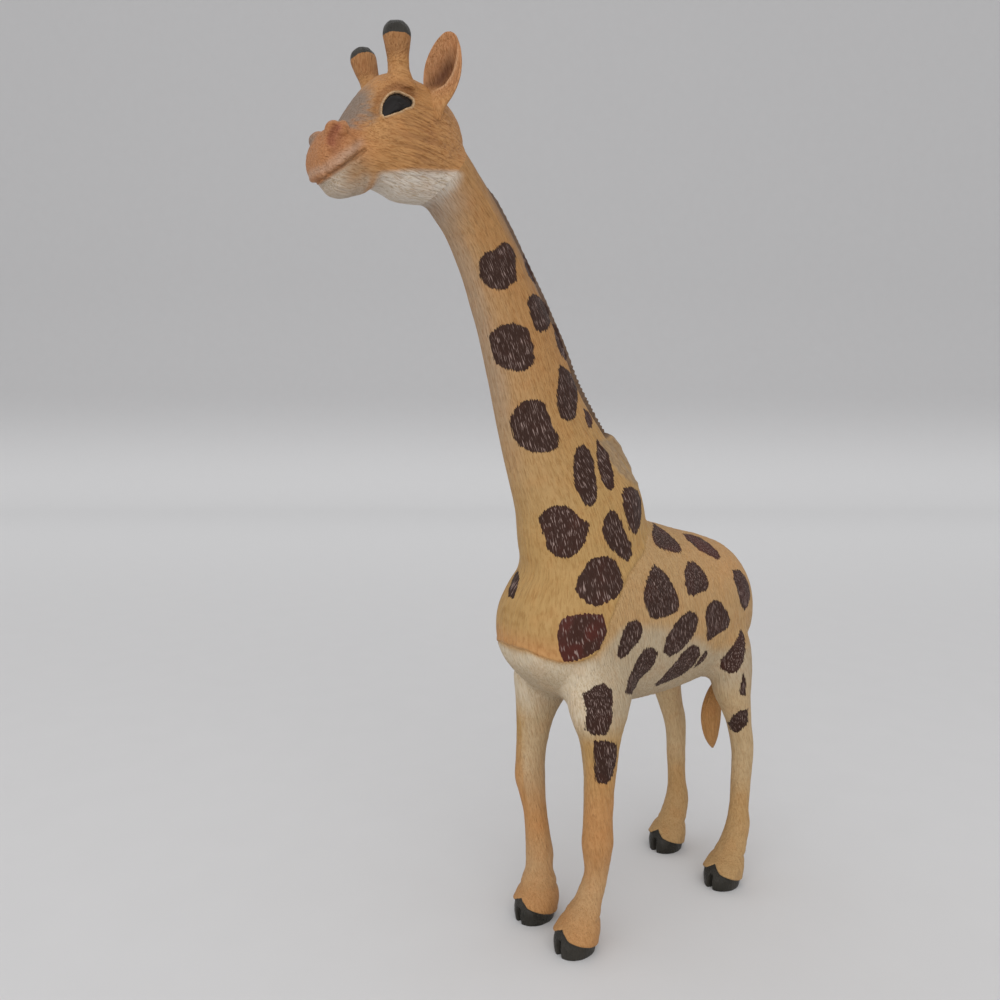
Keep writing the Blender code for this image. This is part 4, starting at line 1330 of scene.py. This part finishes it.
def wash_face(points, normals, wash):
    """The airbrushed colours of the head, with painted shade in the brow crease, cheek furrows, mouth
    groove, nostril hollow and far nostril, and a painted highlight on the upper lip.
    """
    back = points[:, 1]
    muzzle = head_point(0.74, 0.0)[1] - back
    wash(ORANGE_TAN, np.full(len(points), 0.9))
    jaw = line_height(points, JAW_LINE)
    wash(JAW_WHITE, step(0.0012, -0.0012, jaw) * step(-0.0045, -0.0095, muzzle))
    wash(MUZZLE_PINK, step(-0.004, 0.006, muzzle) * 0.85)
    lip, _, mouth = around_mouth(points)
    wash(CHIN_PALE, step(0.0, 0.0025, lip) * step(0.001, 0.009, muzzle))
    wash(CHIN_PALE, step(0.0070, 0.0100, lip) * step(-0.006, -0.001, muzzle))
    for place in place_and_mirror(CHIN_PATCH):
        wash(CHIN_TAN, bell(np.linalg.norm(points - place, axis=1), 0.0060) * 0.85)
    wash(HORN_TAN, step(0.0, 0.004, points[:, 2] - head_point(0.5, 0.98)[2]) * 0.9)
    brow = step(-0.1, 0.5, normals[:, 2]) * step(0.004, -0.002, back - head_point(0.70, 0.0)[1])
    brow *= step(-0.0010, 0.0020, line_height(points, GREY_LINE))
    wash(FOREHEAD_GREY, brow * step(-0.002, 0.003, back - head_point(0.86, 0.0)[1]) * 0.9)
    # painted shade: a grey patch on the far nostril's upper rim, on one side only
    for place in seen(tree, (FAR_NOSTRIL_SHADE,))[0]:
        wash(FOREHEAD_GREY, bell(np.linalg.norm(points - place, axis=1), 0.0042) * 0.8)
    # painted shade: the mouth's groove darkened
    wash(MANE_GREY, bell(mouth, 0.0006) * 0.55)
    wash(NOSTRIL_RED, bell(both_sides(points, NOSTRIL_LINE), 0.0018) * 0.9)
    # the nostril hollow darker red: partly the muzzle's red, partly painted shade in the hollow
    wash(NOSTRIL_RED, bell(both_sides(points, NOSTRIL_HOLLOW), 0.0024) * 0.35)
    # painted highlight: a pale stripe along the upper lip above the mouth
    upper_lip_highlight = bell(mouth - 0.0030, 0.0016) * step(0.0, -0.0015, lip)
    wash(LIP_HIGHLIGHT, upper_lip_highlight * step(-0.001, 0.004, muzzle) * 0.6)
    # painted shade: the brow crease and the cheek furrows darkened
    wash(CREASE_SHADE_BROWN, bell(both_sides(points, BROW_LINE), 0.0018) * 0.7)
    wash(CREASE_SHADE_BROWN, cheek_furrows(points, normals) * 0.48)
    for _, patch in EYES.values():
        away = patch.distance(points, normals)
        wash(LID_CREAM, bell(away - 0.0004, 0.00045) * 0.75)
        wash(BLACK, step(0.0001, -0.0002, away))


def store(mesh, name, kind, values):
    attribute = mesh.attributes.new(name, kind, "POINT")
    field = {"FLOAT_COLOR": "color", "FLOAT_VECTOR": "vector", "FLOAT": "value"}[kind]
    attribute.data.foreach_set(field, np.ascontiguousarray(values, dtype=np.float32).ravel())


# Materials

class Finish:
    """A node material with short calls for the nodes it needs."""

    def __init__(self, name):
        self.material = bpy.data.materials.new(name)
        self.material.use_nodes = True
        self.tree = self.material.node_tree
        self.shader = self.tree.nodes["Principled BSDF"]

    def node(self, kind, inputs=(), **settings):
        made = self.tree.nodes.new("ShaderNode" + kind)
        for name, value in settings.items():
            setattr(made, name, value)
        for socket, value in dict(inputs).items():
            self.give(made.inputs[socket], value)
        return made

    def give(self, socket, value):
        if isinstance(value, bpy.types.NodeSocket):
            self.tree.links.new(value, socket)
        elif isinstance(value, tuple) and len(value) == 3 and socket.type == "RGBA":
            socket.default_value = (*value, 1.0)
        else:
            socket.default_value = value

    def dress(self, name, value):
        self.give(self.shader.inputs[name], value)

    def sum(self, operation, one, two=0.0, three=0.0):
        return self.node("Math", {0: one, 1: two, 2: three}, operation=operation).outputs[0]

    def rise(self, value, low, high, bottom=0.0, top=1.0):
        made = self.node(
            "MapRange",
            {"Value": value, "From Min": low, "From Max": high, "To Min": bottom, "To Max": top},
            interpolation_type="SMOOTHSTEP",
        )
        return made.outputs["Result"]

    def mix(self, share, one, two, blend="MIX"):
        made = self.node("Mix", data_type="RGBA", blend_type=blend)
        self.give(made.inputs["Factor"], share)
        self.give(made.inputs[6], one)
        self.give(made.inputs[7], two)
        return made.outputs[2]

    def shaded(self, share, colour, shade):
        """A colour, multiplied by a shade as far as the share says."""
        return self.mix(share, colour, self.mix(1.0, colour, shade, "MULTIPLY"))

    def frayed(self, distance, grain, reach):
        """A distance from an edge that a grain shifts both ways."""
        return self.sum("MULTIPLY_ADD", self.sum("SUBTRACT", grain, 0.5), reach, distance)

    def attribute(self, name, output="Fac"):
        return self.node("Attribute", attribute_name=name).outputs[output]

    def grain(self, vector, scale, detail=2.0, roughness=0.5):
        made = self.node(
            "TexNoise", {"Vector": vector, "Scale": scale, "Detail": detail, "Roughness": roughness}
        )
        return made.outputs["Fac"]

    def bump(self, height, distance, strength=1.0, normal=None):
        made = self.node("Bump", {"Height": height, "Distance": distance, "Strength": strength})
        if normal is not None:
            self.give(made.inputs["Normal"], normal)
        return made.outputs["Normal"]


def painted_vinyl(name):
    """Matte vinyl with hair grooves darkened as painted shade, a mottled airbrushed colour, ragged spots and
    dipped black ends.
    """
    look = Finish(name)
    fur = look.attribute("fur", "Vector")
    fine = look.grain(fur, 2.1, 2.0)
    hair = look.grain(fur, 0.9, 2.0, 0.6)
    short = look.node("VectorMath", {0: fur, 1: (1.0, 1.0, 0.72)}, operation="MULTIPLY").outputs[0]
    streak = look.grain(short, 2.7, 1.0)
    place = look.node("TexCoord").outputs["Object"]
    cloud = look.grain(place, 110.0, 3.0)
    height = look.node("SeparateXYZ", {0: place}).outputs["Z"]
    coarse = look.rise(height, 0.20, 0.32, 0.60, 0.88)
    tint = look.attribute("tint", "Color")
    # painted shade: the tint darkened in the hair grooves, where the bump is low
    tint = look.shaded(look.rise(hair, 0.30, 0.60, 1.0, 0.0), tint, (0.88, 0.85, 0.80))
    lines = look.sum("MULTIPLY", look.rise(fine, 0.50, 0.64, 0.0, 0.9), coarse)
    tint = look.shaded(lines, tint, (0.74, 0.64, 0.52))
    tint = look.shaded(look.rise(cloud, 0.45, 0.70, 0.0, 0.28), tint, (1.02, 0.86, 0.74))
    spot = look.attribute("spot")
    spotted = look.rise(look.frayed(look.frayed(spot, hair, 2.6), streak, 2.6), 0.18, -0.18)
    dark = look.mix(look.attribute("red"), SPOT_BROWN, SPOT_RED)
    dark = look.shaded(look.rise(cloud, 0.5, 0.8, 0.0, 0.4), dark, (1.7, 1.3, 1.2))
    inner = look.rise(spot, -0.3, -2.2, 0.25, 1.0)
    dark = look.mix(look.sum("MULTIPLY", look.rise(streak, 0.56, 0.70), inner), dark, SCRATCH)
    tint = look.mix(spotted, tint, dark)
    dip = look.rise(look.frayed(look.attribute("black"), hair, 0.8), 0.12, -0.12)
    worn_black = look.mix(look.rise(cloud, 0.3, 0.7), BLACK, WORN_BLACK)
    look.dress("Base Color", look.mix(dip, tint, worn_black))
    matte = look.rise(hair, 0.3, 0.7, 0.64, 0.52)
    glossy = look.rise(cloud, 0.3, 0.7, 0.24, 0.42)
    look.dress("Roughness", look.sum("MULTIPLY_ADD", dip, look.sum("SUBTRACT", glossy, matte), matte))
    look.dress("Specular IOR Level", 0.2)
    look.dress("Normal", look.bump(fine, 0.0005, 0.9, look.bump(hair, 0.0009, 0.9)))
    return look.material


def eye_gloss():
    look = Finish("eye_gloss")
    cloud = look.grain(look.node("TexCoord").outputs["Object"], 260.0, 2.0)
    look.dress("Base Color", look.mix(cloud, *EYE_BLACKS))
    look.dress("Roughness", look.rise(cloud, 0.3, 0.8, 0.20, 0.32))
    look.dress("Specular IOR Level", 0.17)
    look.dress("Normal", look.bump(cloud, 0.0001, 0.3))
    return look.material


# Pieces

def piece(name, mesh, material, node):
    made = bpy.data.objects.new(name, mesh)
    bpy.context.collection.objects.link(made)
    mesh.materials.clear()
    mesh.materials.append(material)
    mesh.shade_smooth()
    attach(made, "root")
    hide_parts(node)
    return made


def inside_box(points):
    return np.clip(points, CAD_BOX[0], CAD_BOX[1])


def part_of_skin(name, keep, cuts, kind, material, node):
    """One casting: its share of the skin, parted at the seams, detailed and painted."""
    bm = keep_faces(skin, keep)
    if kind == "head":
        bmesh.ops.subdivide_edges(bm, edges=bm.edges[:], cuts=1, use_grid_fill=True)
    for seam, above in cuts:
        cut(bm, seam, above)
    mesh = bpy.data.meshes.new(name)
    bm.normal_update()
    sharp = [not edge.smooth for edge in bm.edges]
    bm.to_mesh(mesh)
    bm.free()
    if kind == "head":
        set_points(mesh, carve_face(*arrays(mesh)[:2]))
    set_points(mesh, inside_box(arrays(mesh)[0]))
    paint(mesh, kind)
    piece(name, mesh, material, node)
    edges = mesh.attributes.get("sharp_edge") or mesh.attributes.new("sharp_edge", "BOOLEAN", "EDGE")
    edges.data.foreach_set("value", sharp)


def skin_pieces():
    points, _, _ = arrays(skin)
    neck_side = beyond(points, NECK_SEAM)
    head_side = beyond(points, HEAD_SEAM)
    above_legs = points[:, 2] - LEG_SEAM_HEIGHT
    in_head = head_side > -FACE_MARGIN
    in_neck = (neck_side > -FACE_MARGIN) & (head_side < FACE_MARGIN)
    in_body = (neck_side < FACE_MARGIN) & (above_legs > -FACE_MARGIN)
    for name, keep, cuts, slot in (
        ("head", in_head, [(HEAD_SEAM, True)], "head_vinyl"),
        ("neck", in_neck, [(NECK_SEAM, True), (HEAD_SEAM, False)], "tan_vinyl"),
        ("body", in_body, [(NECK_SEAM, False), (LEG_SEAM, True)], "tan_vinyl"),
    ):
        part_of_skin(name, keep, cuts, name, painted_vinyl(name + "_vinyl"), name + "_casting")
    material = painted_vinyl("leg_vinyl")
    for name in LEGS:
        keep = (above_legs < FACE_MARGIN) & beside_leg(points, name)
        part_of_skin(name + "_skin", keep, [(LEG_SEAM, False)], "leg", material, name)


def solid_mesh(name, rings):
    points, faces = close(rings)
    mesh = bpy.data.meshes.new(name)
    mesh.from_pydata([tuple(point) for point in inside_box(points)], [], faces)
    mesh.validate()
    return mesh


def ear(hand, side_name, material):
    """A cupped leaf with a rolled rear flap and a fold beside it, its hollow darkened by painted shade and
    its fold lightened by a painted highlight.
    """
    axis, side, facing, place = ear_frame(hand)
    root = place - axis * EAR_SINK
    sizes = (EAR_LENGTH, EAR_WIDTH / 2, EAR_CUP, EAR_THICKNESS / 2)
    rows = flowing(np.array(EAR_SHARES) * sizes, THIN_RING_STEP)
    rows = np.maximum(rows, (0, THINNEST / 2, 0, THINNEST / 2))
    angle = np.arange(EAR_RING_POINTS) * 2 * pi / EAR_RING_POINTS
    across, front = np.cos(angle) * hand, np.sin(angle)
    inner = step(0.0, 0.5, front)
    fold_path = np.array(EAR_FOLD)
    rings, hollow_shade, ridge = [], [], []
    for length, width, cup, thickness in rows:
        along = length / EAR_LENGTH
        crease = across - np.interp(along, fold_path[:, 0], fold_path[:, 1])
        fold = 0.0013 * bell(crease, 0.10) + 0.0010 * step(-0.05, 0.15, crease)
        places = np.stack((across * 9, np.full(len(angle), length / 0.012), angle * 0), 1)
        open_part = inner * min(cup / EAR_CUP, 1.0)
        depth = thickness * front - 1.35 * cup * front**2
        depth += open_part * (fold * step(0.12, 0.40, along) + 0.00022 * noise(places, 5))
        middle = root + axis * length
        rings.append(middle + side * (width * across * hand)[:, None] + facing * depth[:, None])
        # painted shade: how dark the hollow is painted
        deep_shade = bell(crease + 0.45, 0.50) * step(0.02, -0.12, crease)
        hollow_shade.append(open_part * deep_shade * step(0.95, 0.60, along))
        # painted highlight: where the fold ridge is painted pale
        ridge.append(open_part * bell(crease - 0.05, 0.08) * step(1.0, 0.8, along))
    mesh = solid_mesh("ear_" + side_name, np.array(rings))
    ends = (0.0, 0.0)
    paint(mesh, "ear", np.append(hollow_shade, ends), np.append(ridge, ends))
    piece("ear_" + side_name + "_skin", mesh, material, "ear_" + side_name)


def eye(hand, side_name, material):
    """A domed lens whose rim follows the lids and whose middle is round."""
    rim, eye_patch = EYES[hand]
    rim = flowing(np.concatenate((rim, rim[:1])), THIN_RING_STEP)[:-1] - eye_patch.out * EYE_TUCK
    middle = rim.mean(axis=0)
    flat = eye_patch.flat(rim) - eye_patch.flat(middle[None])
    size = np.linalg.norm(flat, axis=1)
    round_rim = middle + (rim - middle) * (size.mean() / size)[:, None]
    rings = []
    for part in np.linspace(0.02, 1.0, 16):
        edge = round_rim + (rim - round_rim) * part**2
        rings.append(middle + (edge - middle) * part + eye_patch.out * EYE_DOME * (1 - part**2))
    for part in (0.85, 0.4, 0.02):
        rings.append(middle + (rim - middle) * part - eye_patch.out * EYE_BACK)
    mesh = solid_mesh("eye_" + side_name, np.array(rings))
    piece("eye_" + side_name + "_lens", mesh, material, "eye_" + side_name)


def tail(material):
    along, forward, extra = np.array(TAIL_SHARES).T
    back = BREAST + TRUNK_LENGTH - TAIL_REACH * forward
    width = TAIL_WIDTH + (TAIL_TUFT_WIDTH - TAIL_WIDTH) * extra
    rows = np.stack((back, TAIL_ROOT_HEIGHT - TAIL_LENGTH * along, width / 2), 1)
    rows = flowing(rows, FINE_RING_STEP)
    path = middle_line(rows)
    rear = rearward(path)
    angle = np.arange(TAIL_RING_POINTS) * 2 * pi / TAIL_RING_POINTS
    rings = []
    for index, size in enumerate(rows[:, 2]):
        hairs = 1 + 0.05 * step(0.0028, 0.0045, size) * np.sin(angle * 14 + index * 0.05)
        ring = np.cos(angle)[:, None] * ACROSS + np.sin(angle)[:, None] * rear[index]
        rings.append(path[index] + ring * (size * hairs)[:, None])
    mesh = solid_mesh("tail", np.array(rings))
    paint(mesh, "tail")
    piece("tail_skin", mesh, material, "tail")


skin_pieces()
ear_vinyl = painted_vinyl("ear_vinyl")
eye_material = eye_gloss()
for hand, side_name in ((1, "left"), (-1, "right")):
    ear(hand, side_name, ear_vinyl)
    eye(hand, side_name, eye_material)
tail(painted_vinyl("tail_vinyl"))


# Floor, light and camera

SWEEP_DISTANCE = 2.2
SWEEP_RADIUS = 0.9
SWEEP_HEIGHT = 2.6
SWEEP_HALF_WIDTH = 3.5
FLOOR_REACH = 3.0
# Lamps: place, aim, size, power
LAMPS = {
    "key": ((0.5, -0.4, 1.6), (0.0, 0.0, 0.2), 1.8, 3.5),
    "side": ((2.3, -0.9, 0.55), (0.0, 0.0, 0.22), 2.8, 20.0),
    "front": ((0.5, -2.4, 0.55), (0.0, 0.0, 0.22), 2.6, 13.0),
    "low": ((0.75, -0.75, 0.16), (0.0, 0.0, 0.32), 0.6, 2.2),
}
SKY_STRENGTH = 0.92


def sweep():
    """A pale paper sweep: a floor that curves up far behind the animal."""
    flat = unit(AHEAD * (1.0, 1.0, 0.0))
    profile = [(-FLOOR_REACH, 0.0), (0.0, 0.0), (SWEEP_DISTANCE, 0.0)]
    for turn in np.linspace(0.0, pi / 2, 25)[1:]:
        profile.append((SWEEP_DISTANCE + SWEEP_RADIUS * sin(turn), SWEEP_RADIUS * (1 - cos(turn))))
    profile.append((SWEEP_DISTANCE + SWEEP_RADIUS, SWEEP_HEIGHT))
    points, faces = [], []
    for index, (distance, height) in enumerate(profile):
        for side in (-SWEEP_HALF_WIDTH, SWEEP_HALF_WIDTH):
            points.append(flat * distance + RIGHT * side + UPRIGHT * height)
        if index:
            faces.append((2 * index - 2, 2 * index - 1, 2 * index + 1, 2 * index))
    floor = mesh_object("floor", points, faces)
    floor.data.shade_smooth()
    look = Finish("floor_paper")
    place = look.node("TexCoord").outputs["Object"]
    cloud = look.grain(place, 30.0, 2.0)
    height = look.node("SeparateXYZ", {0: place}).outputs["Z"]
    away = look.node("VectorMath", {0: place, 1: tuple(flat)}, operation="DOT_PRODUCT")
    # painted light: the floor grows paler far off to make up for the lamps' falloff
    far = look.rise(away.outputs["Value"], 0.3, 1.8)
    ground = look.mix(far, look.mix(cloud, *FLOOR_GREYS), FAR_FLOOR_LIT_GREY)
    wall = look.mix(cloud, *WALL_GREYS)
    look.dress("Base Color", look.mix(look.rise(height, 0.45, 0.0), wall, ground))
    look.dress("Roughness", 0.9)
    look.dress("Specular IOR Level", 0.2)
    floor.data.materials.append(look.material)


def studio():
    world = bpy.data.worlds.new("studio")
    bpy.context.scene.world = world
    world.use_nodes = True
    sky = world.node_tree.nodes["Background"].inputs
    sky["Color"].default_value = (*SKY_GREY, 1.0)
    sky["Strength"].default_value = SKY_STRENGTH
    for name, (place, aim, size, power) in LAMPS.items():
        light = bpy.data.lights.new(name, "AREA")
        light.size = size
        light.energy = power
        lamp = bpy.data.objects.new(name, light)
        lamp.location = place
        lamp.rotation_euler = (Vector(aim) - Vector(place)).to_track_quat("-Z", "Y").to_euler()
        bpy.context.collection.objects.link(lamp)


def photo_camera():
    camera = bpy.data.cameras.new("camera")
    camera.sensor_width = SENSOR
    camera.lens = SENSOR * FOCAL_PIXELS / PHOTO_SIZE
    camera.clip_start = 0.01
    holder = bpy.data.objects.new("camera", camera)
    holder.location = CAMERA_PLACE
    holder.rotation_euler = CAMERA_TURN
    bpy.context.collection.objects.link(holder)
    bpy.context.scene.camera = holder
    bpy.context.scene.view_settings.view_transform = "Standard"


sweep()
studio()
photo_camera()
